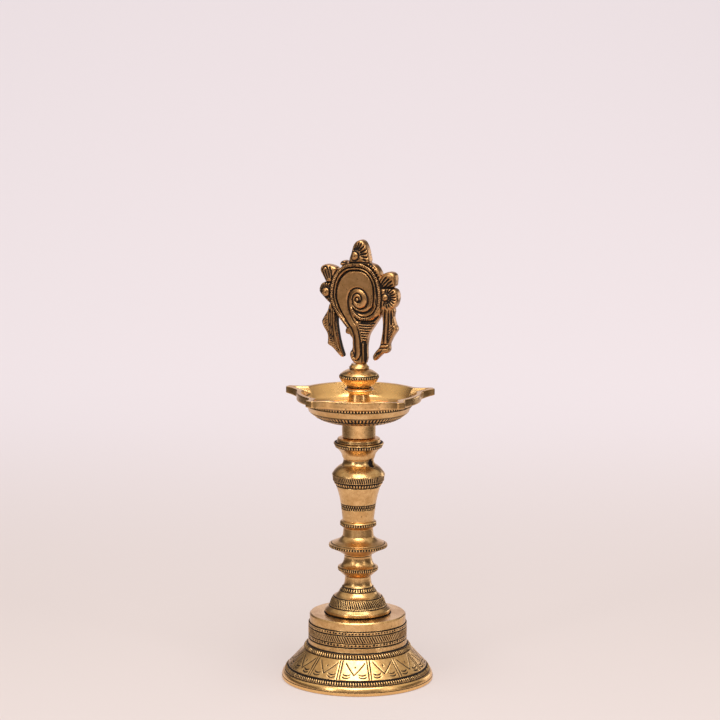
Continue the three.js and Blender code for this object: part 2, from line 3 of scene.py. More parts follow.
import bpy
import numpy as np
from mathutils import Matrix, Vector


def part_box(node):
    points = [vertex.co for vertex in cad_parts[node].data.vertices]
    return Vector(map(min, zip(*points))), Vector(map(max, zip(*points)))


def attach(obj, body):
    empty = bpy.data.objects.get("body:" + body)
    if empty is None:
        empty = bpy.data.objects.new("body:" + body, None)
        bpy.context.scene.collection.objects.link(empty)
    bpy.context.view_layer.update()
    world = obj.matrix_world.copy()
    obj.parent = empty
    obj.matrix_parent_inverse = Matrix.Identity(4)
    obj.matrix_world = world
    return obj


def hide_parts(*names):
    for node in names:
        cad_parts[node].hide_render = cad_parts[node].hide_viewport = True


# Looks of a turned and cast brass oil lamp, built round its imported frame. Lengths are
# millimetres in the script and metres in the scene. -Y is the lamp's front.

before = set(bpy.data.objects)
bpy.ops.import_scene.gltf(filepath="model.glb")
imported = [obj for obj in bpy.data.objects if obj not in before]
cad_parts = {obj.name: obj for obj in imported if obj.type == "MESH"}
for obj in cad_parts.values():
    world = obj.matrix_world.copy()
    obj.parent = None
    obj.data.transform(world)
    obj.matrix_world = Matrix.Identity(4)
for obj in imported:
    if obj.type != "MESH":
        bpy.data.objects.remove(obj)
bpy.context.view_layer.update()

MM = 0.001
TAU = 2 * math.pi
# Radius of rounded corners, the turn in radians below which a corner stays as it is, and
# the length of a curve's steps
ROUND_EDGE, LEAST_TURN, CURVE_STEP = 0.25, 0.15, 0.85
# How a profile bends between two points: outwards above 0, inwards below
STRAIGHT, SWELL, SOFT_SWELL, COVE, SOFT_COVE = 0.0, 0.55, 0.25, -0.7, -0.35
HOLE, KNOB_HOLE = 4.3, 3.3


def span(node, axis=2):
    """Where a node of the frame begins and ends, in mm."""
    return [corner[axis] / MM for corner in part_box(node)]


def add_object(name, data):
    thing = bpy.data.objects.new(name, data)
    bpy.context.scene.collection.objects.link(thing)
    return thing


def smooth(x, start, end):
    """A share from 0 at the start to 1 at the end, level at both."""
    t = np.clip((x - start) / (end - start), 0.0, 1.0)
    return t * t * (3 - 2 * t)


def bump(x, width):
    return np.exp(-((x / width) ** 2))


def larger(a, b, blend):
    """The larger of two values, with a soft change from one to the other."""
    t = np.clip(0.5 + 0.5 * (a - b) / blend, 0, 1)
    return b * (1 - t) + a * t + blend * t * (1 - t)


def wobble(index, seed):
    """A steady value from -1 to 1 for each whole number."""
    value = np.sin(np.asarray(index) * 12.9898 + seed * 78.233) * 43758.5453
    return 2 * (value - np.floor(value)) - 1


def cells_round(angle, count, shift=0.0):
    """Which of count cells round the axis each angle lies in, and where, from 0 to 1."""
    phase = angle * count / TAU + shift
    index = np.floor(phase)
    return np.mod(index, count), phase - index


# Bands of relief. Each gives, for angles and for a share across the band, the push out of
# the surface in mm and the patina and shading: 1 in a black cut and in painted shade, 0 on
# worn brass, less on clean brass and on painted highlights.
class Band:
    def __init__(self, cells, rows, relief):
        self.cells, self.rows, self.relief = cells, rows, relief


def plain(cells, rows=0, patina=0.0):
    return Band(cells, rows, lambda angle, share: (0 * angle, patina + 0 * angle))


def beads(count, height, sunk, length, seed, rows=9, per=8, shift=0.0):
    """Round beads in a sunk dark channel, each filling a share of its cell's length."""
    def relief(angle, share):
        index, x = cells_round(angle, count, shift)
        x, y = (2 * x - 1 + 0.10 * wobble(index, seed)) / length, 2 * share - 1
        ball = np.sqrt(np.clip(1 - x ** 2, 0, 1) * np.clip(1 - y ** 2, 0, 1))
        ball = ball * (1 + 0.12 * wobble(index, seed + 1))
        push = height * ball - sunk * math.sqrt(max(0.0, 1 - y ** 8))
        patina = (1 - smooth(ball, 0.30, 0.80)) * min(1.0, 3 * (1 - abs(y)) + 0.6)
        # The bead tops turn to clean brass: partly rubbed clean, partly a painted highlight
        return push, patina - 0.35 * smooth(ball, 0.70, 1.0)
    return Band(count * per, rows, relief)


def rope(count, height, slant, seed, rows=10, per=8):
    """A rounded moulding cut across by slanting notches."""
    def relief(angle, share):
        index, x = cells_round(angle, count, slant * (share - 0.5))
        ridge = np.abs(np.sin(np.pi * x)) ** 0.7 * (1 + 0.10 * wobble(index, seed))
        body = math.sqrt(max(0.0, 1 - abs(2 * share - 1) ** 3))
        push = height * body * ridge - height * 0.8 + height * 0.35 * body
        return push, np.clip(1.75 - 1.85 * ridge * body ** 0.5, 0, 1)
    return Band(count * per, rows, relief)


def hatch(count, depth, slant, width, margin, seed, rows=12, per=8):
    """Slanting cuts across a smooth band, deeper here and there, that fade in its margin."""
    def relief(angle, share):
        index, x = cells_round(angle, count, slant * (share - 0.5))
        strength = 0.78 + 0.22 * wobble(index, seed)
        ends = float(smooth(share, 0, margin) * (1 - smooth(share, 1 - margin, 1)))
        cut = bump(x - 0.5, width) * strength * ends
        return -depth * cut, np.clip(1.9 * cut - 0.12, 0, 1)
    return Band(count * per, rows, relief)


def punched(count, depth, width, seed, rows=7, per=7):
    """A line of small punched dots, none quite like the next."""
    def relief(angle, share):
        index, x = cells_round(angle, count)
        x = x - 0.5 + 0.14 * wobble(index, seed)
        across = share - 0.5 + 0.14 * wobble(index, seed + 9)
        strength = 0.72 + 0.28 * wobble(index, seed + 17)
        dot = np.exp(-(x ** 2 + (0.9 * across) ** 2) / width ** 2) * strength
        return -depth * dot, np.clip(2.4 * dot - 0.15, 0, 1)
    return Band(count * per, rows, relief)


def groove(depth, cells=192, rows=5):
    """A line cut round the piece."""
    def relief(angle, share):
        cut = (1 - (2 * share - 1) ** 2) ** 0.8
        uneven = 1 + 0.10 * np.sin(3 * angle + 1.0) + 0.06 * np.sin(11 * angle)
        return -depth * cut * uneven, smooth(cut, 0.05, 0.4) * uneven
    return Band(cells, rows, relief)


def panels(rows=34, per=50):
    """Engraved panels: double lines between them, and in each a V over a drop, with two
    short curved cuts in both lower corners."""
    count, turn, height, middle_radius = 13, 0.596, 14.9, 42.3
    cut, depth, foot_of_v = 0.30, 0.33, 4.0

    def off_line(x, y, ax, ay, bx, by):
        """How far each place is from the line between two points."""
        dx, dy = bx - ax, by - ay
        t = np.clip(((x - ax) * dx + (y - ay) * dy) / (dx ** 2 + dy ** 2), 0, 1)
        return np.hypot(x - ax - t * dx, y - ay - t * dy)

    def relief(angle, share):
        index, x = cells_round(angle, count, turn)
        half = math.pi * middle_radius / count * (1.12 - 0.24 * share)
        x, y = (2 * x - 1) * half, share * height
        lean, drop = 0.4 * wobble(index, 7), 0.5 * wobble(index, 8)
        marks = [
            bump(half - np.abs(x) - 0.95 - 0.3 * lean, cut),
            np.exp(-((x + lean) / 0.42) ** 2 - ((y - 10.0 - drop) / 0.75) ** 2),
            bump(np.minimum(*[
                off_line(x, y, side * half, top, lean, foot_of_v + drop)
                for side, top in ((-0.64, 12.9 + drop), (0.76, 12.7 - drop))]), cut),
        ]
        for side in (-1, 1):
            centre = side * (half - 5.2)
            for lift in (1.7, 3.7):
                arc = y - lift - 0.13 * (x - centre) ** 2 - 0.35 * drop
                inside = 1 - smooth(np.abs(x - centre), 2.3, 3.0)
                marks.append(1.3 * bump(arc, cut) * inside)
        mark = np.max(marks, axis=0)
        fade = float(smooth(share, 0.0, 0.04) * (1 - smooth(share, 0.96, 1)))
        return -depth * mark * fade, np.clip(1.5 * mark - 0.12, 0, 1) * fade
    return Band(count * per, rows, relief)


def thread(length, pitch, depth, cells):
    """A right-handed screw thread that fades out at both ends."""
    def relief(angle, share):
        turns = share * length / pitch - angle / TAU
        ridge = 2 * np.abs(turns - np.floor(turns) - 0.5)
        shape = smooth(ridge, 0.12, 0.88)
        fade = float(smooth(share * length, 0, pitch) * smooth((1 - share) * length, 0, pitch))
        return -depth * (shape * fade + 1 - fade), 0.25 * shape
    return Band(cells, int(length / pitch * 8), relief)


def unit(vectors):
    return vectors / np.linalg.norm(vectors, axis=1)[:, None]


def quadratic(start, control, end, t):
    """A curve from start to end that leans towards the control point."""
    return start * (1 - t) ** 2 + control * 2 * t * (1 - t) + end * t ** 2


# Turned surfaces
class Turned:
    """A profile walked from one radius and rise to the next, with the outside on its right."""

    def __init__(self, radius, height):
        self.spans = []
        self.end = np.array([radius, height], float)

    def to(self, radius, rise, band, bend=STRAIGHT):
        start, end = self.end, np.array([radius, self.end[1] + rise], float)
        length = np.linalg.norm(end - start)
        steps = band.rows or (1 if bend == STRAIGHT else max(5, int(length / CURVE_STEP)))
        t = np.linspace(0, 1, steps + 1)[:, None]
        if bend == STRAIGHT:
            points = start + (end - start) * t
        else:
            corner = [start[0], end[1]] if bend > 0 else [end[0], start[1]]
            control = (start + end) / 2 * (1 - abs(bend)) + np.array(corner) * abs(bend)
            points = quadratic(start, control, end, t)
        self.spans.append((points, band))
        self.end = end
        return self

    def level(self, height, band):
        return self.to(self.end[0], height - self.end[1], band)

    def walk(self, *steps):
        for step in steps:
            self.to(*step)
        return self

    def rounded(self, closed):
        """Spans with their corners rounded off by short arcs."""
        spans = [(points.copy(), band) for points, band in self.spans]
        count = len(spans)
        arcs = {}
        for i in range(count if closed else count - 1):
            a, b = spans[i], spans[(i + 1) % count]
            before, corner, after = a[0][-2], a[0][-1], b[0][1]
            back, ahead = before - corner, after - corner
            back_length, ahead_length = np.linalg.norm(back), np.linalg.norm(ahead)
            back, ahead = back / back_length, ahead / ahead_length
            turn = math.acos(float(np.clip(-back @ ahead, -1, 1)))
            if turn < LEAST_TURN:
                continue
            cut = min(ROUND_EDGE * math.tan(turn / 2), 0.35 * back_length, 0.35 * ahead_length)
            start, end = corner + back * cut, corner + ahead * cut
            arcs[i] = quadratic(start, corner, end, np.linspace(0, 1, 4)[1:-1, None])
            a[0][-1], b[0][0] = start, end
        return spans, arcs

    def rows(self, closed):
        """Every ring of points: radius, height, normal, band and share across the band."""
        spans, arcs = self.rounded(closed)
        rows = []
        for i, (points, band) in enumerate(spans):
            # A straight span gets a row close to each end, so that its shading stays flat
            if len(points) == 2:
                length = np.linalg.norm(points[1] - points[0])
                guard = min(0.4, 0.2 * length) / max(length, 1e-9)
                shares = np.array([0, guard, 1 - guard, 1])
                points = points[0] + (points[1] - points[0]) * shares[:, None]
            else:
                shares = np.linspace(0, 1, len(points))
            along = unit(np.gradient(points, axis=0))
            for (r, z), (tr, tz), share in zip(points, along, shares):
                rows.append((r, z, tz, -tr, band, share))
            for r, z in arcs.get(i, ()):
                rows.append((r, z, 0.0, 0.0, plain(band.cells), 0.0))
        kept = [rows[0]]
        for row in rows[1:]:
            if math.hypot(row[0] - kept[-1][0], row[1] - kept[-1][1]) > 1e-4:
                kept.append(row)
        return kept


def even(count):
    return np.arange(count) * TAU / count


class Mesh:
    """Points with a patina and shading value each, and faces, gathered before the mesh is made."""

    def __init__(self):
        self.points, self.patina, self.faces, self.count = [], [], [], 0

    def add(self, points, patina):
        start = self.count
        self.points.append(np.asarray(points, float))
        self.patina.append(np.broadcast_to(patina, len(points)).astype(float))
        self.count += len(points)
        return start

    def face(self, *corners):
        self.faces.append(np.stack(corners, axis=1))

    def bridge(self, a, a_angles, b, b_angles):
        """Faces between a ring of points and the next one, each with its angles."""
        many_a, many_b = len(a_angles), len(b_angles)
        if many_a == many_b and np.allclose(a_angles, b_angles):
            here = np.arange(many_a)
            there = (here + 1) % many_a
            self.face(a + here, a + there, b + there, b + here)
            return
        if min(many_a, many_b) == 1:
            here = np.arange(max(many_a, many_b))
            there = (here + 1) % len(here)
            if many_a == 1:
                self.face(a + 0 * here, b + there, b + here)
            else:
                self.face(a + here, a + there, b + 0 * here)
            return
        # Each next point round either ring makes a triangle with the last one of both
        ends = a_angles[1:], a_angles[:1] + TAU, b_angles[1:], b_angles[:1] + TAU
        on_a = np.argsort(np.concatenate(ends), kind="stable") < many_a
        i, j = np.cumsum(on_a), np.cumsum(~on_a)
        self.face(a + (i - on_a) % many_a, np.where(on_a, a + i % many_a, b + j % many_b),
                  b + (j - ~on_a) % many_b)

    def ring(self, r, z, nr, nz, band, share):
        """A ring of a turned surface: where its points start, and their angles."""
        if r < 1e-6:
            return self.add([[0, 0, z]], 0.0), even(1)
        angle = even(band.cells)
        push, patina = band.relief(angle, share)
        return self.circle(angle, r + nr * push, z + nz * push, patina)

    def circle(self, angle, radius, height, patina=0.0):
        x, y = radius * np.sin(angle), -radius * np.cos(angle)
        return self.add(np.stack([x, y, height + 0 * angle], 1), patina), angle

    def join(self, rings, closed=False):
        for a, b in zip(rings, rings[1:] + (rings[:1] if closed else [])):
            self.bridge(*a, *b)
        return self

    def turn(self, turned, closed=False):
        return self.join([self.ring(*row) for row in turned.rows(closed)], closed)

    def build(self, name, material):
        points = np.concatenate(self.points) * MM
        sizes = np.concatenate([np.full(len(f), f.shape[1]) for f in self.faces])
        corners = np.concatenate([f.ravel() for f in self.faces])
        mesh = bpy.data.meshes.new(name)
        mesh.vertices.add(len(points))
        mesh.vertices.foreach_set("co", points.astype(np.float32).ravel())
        mesh.loops.add(len(corners))
        mesh.loops.foreach_set("vertex_index", corners.astype(np.int32))
        mesh.polygons.add(len(sizes))
        starts = np.concatenate([[0], np.cumsum(sizes)[:-1]])
        mesh.polygons.foreach_set("loop_start", starts.astype(np.int32))
        patina = mesh.attributes.new("patina", "FLOAT", "POINT")
        patina.data.foreach_set("value", np.concatenate(self.patina).astype(np.float32))
        mesh.update(calc_edges=True)
        mesh.validate()
        mesh.shade_smooth()
        mesh.materials.append(material)
        return add_object(name, mesh)


# Turned pieces. Each step of a profile is its radius, its rise, its band and its bend
def base_shell():
    """The hollow foot with its drum."""
    (ground, top), drum = span("base_shell"), 34.0
    # The foot's rims are lighter clean brass: partly wear, partly a painted sheen
    wide, rim = plain(192), plain(192, patina=-0.3)
    base = Turned(47.6, ground).walk(
        # Rims and lower rope
        (51.8, 0, wide), (52.2, 0.5, rim), (52.2, 1.7, rim), (52.0, 0.5, groove(0.25, 256)),
        (51.6, 1.5, rim, SOFT_SWELL), (50.3, 1.6, rim, SWELL), (49.9, 0.8, groove(0.45, 256)),
        (48.4, 2.3, rope(172, 0.85, 0.25, 1, rows=9, per=6)), (47.7, 1.0, groove(0.50, 256)),
        # Skirt and upper rope
        (37.2, 11.3, panels()), (37.0, 0.5, groove(0.45, 256)),
        (35.2, 2.7, rope(120, 0.95, 0.35, 2)), (drum, 1.2, groove(0.35, 256)),
        # Drum
        (drum, 2.7, plain(192, patina=0.2)), (drum, 1.1, groove(0.45, 256)),
        (drum, 1.8, punched(84, 0.45, 0.30, 3)), (drum, 0.9, groove(0.40, 256)),
        (drum, 4.5, hatch(122, 0.50, 1.4, 0.23, 0.02, 4, per=7)), (drum, 1.1, groove(0.45, 256)),
        (drum, 1.8, punched(92, 0.45, 0.28, 5)), (33.1, 0.9, groove(0.45, 256)))
    base.level(top - 0.8, wide).walk(
        # The drum's top is black in a ring round the flange: dirt in the joint and partly a
        # painted contact shadow
        (32.2, 0.8, wide), (23.3, 0, wide), (22.0, 0, plain(192, patina=1.0)), (HOLE, 0, wide),
        # Inside
        (HOLE, -3.4, plain(64)), (30.4, 0, wide)).level(25.6, wide).walk(
        (32.3, -4.4, wide), (42.5, -10.9, wide), (47.6, -6.6, wide)).level(ground, wide)
    return Mesh().turn(base, closed=True)


def stem():
    foot, top = span("stem")
    wide, fine, hole = plain(144), plain(112), plain(48)
    body = Turned(0, foot + 14.0).to(HOLE, 0, hole).level(foot, hole).walk(
        # Flange, hatched band and cone
        # The flange's lower edge is darkened: dirt in the joint and partly a painted contact
        # shadow
        (21.9, 0, wide), (22.6, 0.7, plain(192, patina=0.6), SWELL), (22.6, 1.6, wide),
        (22.0, 0.8, wide, SWELL), (20.2, 1.5, wide), (19.6, 0.9, groove(0.50, 224)),
        (17.1, 5.6, hatch(74, 0.55, 1.2, 0.26, 0.04, 11, rows=13), SOFT_SWELL),
        (16.3, 0.7, groove(0.50)), (12.6, 3.6, fine, SOFT_COVE), (12.2, 0.6, groove(0.35)),
        # Beads and knop
        (10.9, 2.2, beads(40, 0.30, 0.50, 0.60, 12, rows=10)), (10.3, 0.5, groove(0.30)),
        (8.85, 6.6, fine, COVE), (9.3, 0.5, groove(0.30)), (13.7, 4.1, fine),
        (13.7, 2.4, beads(56, 0.60, 0.35, 0.62, 13)), (9.4, 6.5, plain(128, patina=0.18), COVE),
        (9.4, 1.2, fine), (9.7, 0.6, groove(0.30)),
        # Sharp disc
        (10.2, 0.9, fine), (12.7, 1.3, fine, SOFT_COVE), (14.3, 0.8, fine), (14.6, 0.2, fine),
        (17.8, 1.5, wide), (20.0, 1.0, wide), (20.1, 1.8, beads(64, 0.55, 0.40, 0.64, 14, rows=8)),
        (18.8, 0.6, wide), (18.2, 0.3, groove(0.25)), (16.0, 1.0, wide),
        # Neck and ring
        (10.7, 3.9, fine, SOFT_COVE), (10.1, 5.4, fine), (12.5, 2.1, fine),
        (12.5, 2.1, beads(44, 0.45, 0.45, 0.66, 15)), (10.7, 1.3, fine, SWELL),
        # Vase with two rows of beads and a shoulder band
        (11.7, 8.2, fine), (11.9, 1.7, beads(46, 0.30, 0.40, 0.48, 16, rows=8)),
        (12.2, 1.7, beads(46, 0.30, 0.40, 0.48, 36, rows=8, shift=0.5)),
        (15.4, 12.5, fine, SOFT_SWELL), (15.6, 0.7, groove(0.45)),
        (16.9, 2.3, beads(52, 0.60, 0.35, 0.64, 17)), (17.6, 0.9, groove(0.45)),
        (18.2, 3.9, hatch(72, 0.50, 0.8, 0.30, 0.06, 18, rows=10), SWELL),
        (17.9, 0.9, wide, SWELL), (12.6, 5.6, plain(192, 14, 0.13), SOFT_SWELL),
        # Waist, trumpet, collar and step ring
        (10.3, 4.2, plain(192, 12, 0.08), COVE), (11.6, 3.6, fine, SOFT_COVE),
        (16.0, 4.9, fine, SOFT_SWELL), (16.9, 2.0, beads(56, 0.45, 0.40, 0.62, 19, rows=8)),
        (17.2, 0.5, groove(0.35)), (16.8, 0.8, wide, SWELL), (14.9, 0.5, groove(0.30)),
        (14.7, 1.7, fine), (14.2, 0.5, fine, SWELL)).level(top - 0.5, fine)
    body.walk((12.4, 0.5, fine), (HOLE, 0, fine)).level(top - 10.4, hole).to(0, 0, hole)
    mesh = Mesh().turn(body)
    pit(mesh, degrees=53.0, radius=11.4, height=151.8, size=3.9, depth=1.0, tarnish=0.75)
    return mesh


def pit(mesh, degrees, radius, height, size, depth, tarnish):
    """A small casting fault sunk into the surface."""
    turn = math.radians(degrees)
    centre = np.array([radius * math.sin(turn), -radius * math.cos(turn), height])
    for points, patina in zip(mesh.points, mesh.patina):
        near = np.linalg.norm((points - centre) * [1, 1, 0.8], axis=1)
        share = 1 - smooth(near, 0.35 * size, size)
        if share.max() > 0:
            patina += share * (tarnish - patina)
            points[:, :2] *= (1 - depth / radius * share)[:, None]


def finial_knob():
    foot, top = span("finial_knob")
    fine, hole = plain(112), plain(40)
    knob = Turned(0, foot + 10.0).to(KNOB_HOLE, 0, hole).level(foot, hole).walk(
        # Ring foot, cup and its beaded edge
        (8.6, 0, fine), (10.1, 1.5, fine, SWELL), (8.6, 1.5, fine, SWELL),
        (8.1, 1.1, groove(0.35, 160)), (13.1, 5.1, fine, SOFT_COVE), (13.6, 0.7, fine, SWELL),
        (13.4, 1.8, beads(50, 0.65, 0.45, 0.72, 21, per=12)), (12.9, 0.6, groove(0.40, 256)),
        # Upper side and the ring that holds the emblem
        (6.9, 3.5, fine, SOFT_SWELL), (6.5, 0.4, groove(0.35, 160)), (7.0, 0.7, fine, SWELL),
        (6.6, 0.7, fine, SWELL), (5.2, 2.0, fine, SOFT_COVE)).level(top, fine).to(0, 0, fine)
    return Mesh().turn(knob)


# Oil dish. The front lies between two beaks, but for DISH_TURN degrees. From SPLAY_RADIUS
# on, the underside runs out into the beaks.
DISH_TURN, BEAKS, LIP_RADIUS, SPLAY_RADIUS = -3.5, 5, 42.7, 38.6


def spaced(line, step, spare=0.0):
    """Points at even steps along a line, up to a spare length before its end."""
    length = np.append(0, np.cumsum(np.hypot(*np.diff(line, axis=0).T)))
    s = np.arange(0, length[-1] - spare, step)
    return np.stack([np.interp(s, length, line[:, i]) for i in (0, 1)], 1)


def rotated(points, angle):
    c, s = math.cos(angle), math.sin(angle)
    return points @ np.array([[c, s], [-s, c]])


def dish_outline(step=0.42, dense_step=0.05, reach=160):
    """The plan of the lip, evenly spaced and softened, more so away from the beaks: points
    with their outward directions, in a frame with a beak along its first axis."""
    root, control, tip = np.array([[41.69, 9.24], [46.9, 4.3], [53.1, 2.95]])
    flank = quadratic(root, control, tip, np.linspace(0, 1, 60)[:, None])
    arc = np.linspace(math.pi / BEAKS, math.atan2(root[1], root[0]), 60)
    arc = LIP_RADIUS * np.stack([np.cos(arc), np.sin(arc)], 1)
    half = np.vstack([arc, flank, [[tip[0], 0]]])
    dense = spaced(np.vstack([half, half[::-1] * [1, -1]])[::-1], dense_step)
    before, after = rotated(dense, -TAU / BEAKS), rotated(dense, TAU / BEAKS)
    padded = np.vstack([before[-reach - 1:-1], dense, after[1:reach + 1]])
    soft = []
    for width in (0.9, 3.2):
        kernel = bump(np.arange(-reach, reach + 1) * dense_step, width)
        kernel /= kernel.sum()
        soft.append(np.stack([np.convolve(padded[:, i], kernel, "valid") for i in (0, 1)], 1))
    share = smooth(np.hypot(*dense.T), 44.0, 50.0)[:, None]
    points = spaced(soft[0] * share + soft[1] * (1 - share), step, step / 2)
    points = np.vstack([rotated(points, i * TAU / BEAKS) for i in range(BEAKS)])
    along = unit(np.roll(points, -1, 0) - np.roll(points, 1, 0))
    return points, np.stack([along[:, 1], -along[:, 0]], 1)


def oil_dish():
    foot, edge, floor_radius = span("oil_dish")[0], 0.45, 31
    lip, under_lip = foot + 31.0, foot + 31.0 - 6.8
    bowl_radius, wall_slope, spout_start, spout_slope, spout_half = 39.8, 1.79, 35, 0.414, 5.5
    turn = math.radians(180 / BEAKS + DISH_TURN)
    outline, out = (rotated(part, turn - math.pi / 2) for part in dish_outline())

    def angles(points):
        return np.mod(np.arctan2(points[:, 0], -points[:, 1]), TAU)

    first = int(np.argmin(angles(outline)))
    outline, out = np.roll(outline, -first, 0), np.roll(out, -first, 0)
    angle, inset = angles(outline), outline - out * edge

    def top_of(points):
        """The bowl and its lip, and the hollow spouts that run out into the beaks: heights,
        and the share of each place that a spout takes."""
        r = np.hypot(*points.T)
        rim = lip + 0.6 * smooth(r, 41, 53.3)
        wall = lip - (bowl_radius - r) * wall_slope
        floor = lip - 14.0 + 0.6 * (r - 26)
        bowl = -larger(-larger(wall, floor, 1.6), -rim, 0.35)
        off = np.mod(np.arctan2(points[:, 0], -points[:, 1]) - turn, TAU / BEAKS)
        off = np.minimum(off, TAU / BEAKS - off)
        along, across = r * np.cos(off), r * np.sin(off)
        spout = lip - 5.4 + spout_slope * (along - spout_start)
        side = spout + 2.6 * (across - spout_half + 0.33 * (along - spout_start))
        carved = -larger(-bowl, -larger(spout, side, 1.6), 0.9)
        return carved, smooth(bowl - carved, 0.2, 1.0)

    def bottom_of(r):
        return under_lip + np.where(r < LIP_RADIUS, (r - SPLAY_RADIUS) * 1.5 / 4.1,
                                    1.5 + (r - LIP_RADIUS) * 1.5 / 10.6)

    mesh = Mesh()

    def star(points, z, patina=0.0):
        rings.append((mesh.add(np.column_stack([points, z]), patina), angle))

    def outwards(radius, shares):
        """Rings of points on the way from a circle to the inset outline."""
        start = radius * np.stack([np.sin(angle), -np.cos(angle)], 1)
        for share in shares:
            yield start + (inset - start) * share

    # Underside, from the hole for the stud out to the lip
    fine, hole = plain(128), plain(48)
    under = Turned(0, foot + 12.0).to(HOLE, 0, hole).level(foot, hole).walk(
        (11.0, 0, fine), (11.5, 0.5, fine, SWELL), (11.5, 8.6, fine), (12.2, 0.5, groove(0.30)),
        (22.6, 1.7, fine), (23.2, 0.4, groove(0.35, 256)),
        (28.2, 1.9, hatch(58, 0.35, 0.6, 0.16, 0.1, 31, rows=8, per=10), SOFT_COVE),
        (29.6, 0.7, groove(0.35, 256)), (33.7, 3.2, beads(84, 0.45, 0.45, 0.60, 32, per=9)),
        (34.3, 0.7, groove(0.35, 256)), (36.4, 3.8, plain(192), SOFT_SWELL),
        (36.6, 0.5, groove(0.35, 256)), (36.9, 2.0, beads(110, 0.40, 0.35, 0.60, 33, rows=8)))
    rings = [mesh.ring(*row) for row in under.level(under_lip, groove(0.30, 256)).rows(False)]
    for points in outwards(SPLAY_RADIUS, np.linspace(0, 1, 9)):
        star(points, bottom_of(np.hypot(*points.T)), 0.12)
    # Outer side with its two rounded edges
    base, rim = bottom_of(np.hypot(*outline.T)), top_of(inset)[0]
    quarter = [share * math.pi / 2 for share in (0.3, 0.7)]
    for a in quarter:
        star(inset + out * (edge * math.sin(a)), base + edge * (1 - math.cos(a)))
    for share in np.linspace(0, 1, 6):
        star(outline, (base + edge) * (1 - share) + (rim - edge) * share, 0.1)
    for a in quarter:
        star(inset + out * (edge * math.cos(a)), rim - edge * (1 - math.sin(a)))
    # Lip, spouts and the bowl's wall, cleaner in the bowl and duller in the spouts
    for points in outwards(floor_radius, np.linspace(1, 0, 40)):
        height, used = top_of(points)
        clean = 0.1 - 0.6 * (1 - smooth(np.hypot(*points.T), 39.0, 40.0))
        star(points, height, clean * (1 - used) + 0.26 * used)
    # Floor of the bowl and post
    bowl = Turned(floor_radius, lip - 11.0).walk(
        (26, -3.0, plain(192, 4, -0.5)), (10, -3.1, plain(160, 16, -0.5), SOFT_SWELL),
        (6.9, 15.9, plain(96))).level(lip - 0.2, plain(96))
    bowl.to(KNOB_HOLE, 0, plain(64)).level(lip - 11.7, hole).to(0, 0, hole)
    rings += [mesh.ring(*row) for row in bowl.rows(False)]
    return mesh.join(rings)


# Conch emblem. It is drawn flat, u to the right and v up from the ground, and raised to
# the same relief on both faces.
EMBLEM_TURN = math.radians(22)
DRAWN_FOOT, DRAWN_HEIGHT = 220.1, 86.05

SHELL = [
    (-8.6, 243.4), (-12, 247.8), (-15.2, 252), (-18.4, 257.3), (-20.6, 262), (-21.1, 267.5),
    (-20.7, 274), (-19, 279.8), (-16.2, 284.4), (-12.4, 287.7), (-7.5, 289.6), (0, 290.2),
    (6, 288.4), (10.5, 284.6), (13.6, 279.5), (15.3, 273.5), (15.8, 266.5), (15.9, 260),
    (15.4, 254.6), (13, 250.5), (9.8, 245.6), (6.6, 240.4), (5.5, 235.2), (5.3, 229), (5.5, 225),
    (5.2, 222.6), (3.9, 220.2), (0, 219.6), (-3.2, 220.4), (-5.4, 222.4), (-6.7, 225.6),
    (-6.4, 228.4), (-5.3, 229.8), (-4.8, 231.8), (-4.9, 234.4), (-4.9, 237.4), (-7.1, 240.2),
]
NUB = [
    (-6.4, 240.6), (-9.2, 240.4), (-10.2, 242), (-9.6, 244.6), (-7.4, 245),
]
STEP_LEFT = [
    (-14, 288.2), (-13.9, 290.2), (-12.2, 291.3), (-10, 290.9), (-9.6, 289), (-11, 287),
]
LEAF_RIGHT = [
    (5, 290.8), (8, 290.3), (10.9, 289.3), (13.2, 287.2), (15, 284), (15.8, 280.5), (14.6, 277.5),
    (12, 279.5), (8, 285),
]
PETAL_TOP = [
    (-7.9, 289.5), (-7.7, 291.6), (-6.9, 294.9), (-5.7, 298.6), (-4.6, 302.2), (-2.8, 304.8),
    (-0.6, 306), (1.4, 305.9), (3.6, 304.2), (5.5, 300.2), (6.6, 295.4), (7.1, 291), (3, 288.5),
    (-3, 288.5),
]
PETAL_UP_RIGHT = [
    (14.5, 278), (16.6, 283), (19.7, 284.8), (23, 285), (25.4, 283.6), (26.3, 281.2), (26.2, 278),
    (25.4, 275.2), (20, 273.6), (15.5, 273.5),
]
PETAL_LOW_RIGHT = [
    (15, 274), (20, 274.4), (25, 274), (27.5, 271), (28, 266.5), (26.9, 262.4), (24.4, 259.8),
    (19, 259.3), (15.5, 260.6),
]
PETAL_UP_LEFT = [
    (-16.6, 285.2), (-19, 287), (-22.2, 287.8), (-25.3, 287.9), (-27.8, 286.6), (-28.7, 284.2),
    (-28.2, 282.4), (-27.1, 280.6), (-25.4, 277.5), (-24.2, 275.6), (-19.5, 275.4), (-17.5, 279),
]
PETAL_LOW_LEFT = [
    (-19, 276), (-24, 275.9), (-26.8, 275.2), (-28.6, 273.4), (-29.5, 270.6), (-29.2, 268.6),
    (-27.8, 266.8), (-25.6, 264.6), (-23.2, 262.4), (-18.6, 260.5),
]
RIBBON_LEFT = [
    (-18.5, 262), (-22, 260.6), (-23.5, 256), (-26.9, 250.2), (-27.6, 247.8), (-26.5, 244.6),
    (-23.6, 239.8), (-23.2, 235.5), (-23.2, 232.4), (-19.5, 230), (-15.7, 226.1), (-13.3, 224),
    (-11.9, 224), (-11.7, 225.4), (-13.2, 229.6), (-15, 236.3), (-16.4, 244.6), (-16.8, 250),
    (-16.6, 255), (-16, 259),
]
RIBBON_RIGHT = [
    (15.3, 261), (16.2, 256), (16.9, 250), (16.7, 244), (15.6, 237), (14.5, 232.8), (12, 229.6),
    (9.9, 226.2), (10.3, 223.6), (12, 223), (14.6, 225.6), (17.4, 228.1), (20.4, 228.7),
    (21.8, 231), (21.8, 235), (24.2, 240.2), (27.2, 245.2), (25.8, 249), (24.5, 253.6),
    (24.4, 260),
]
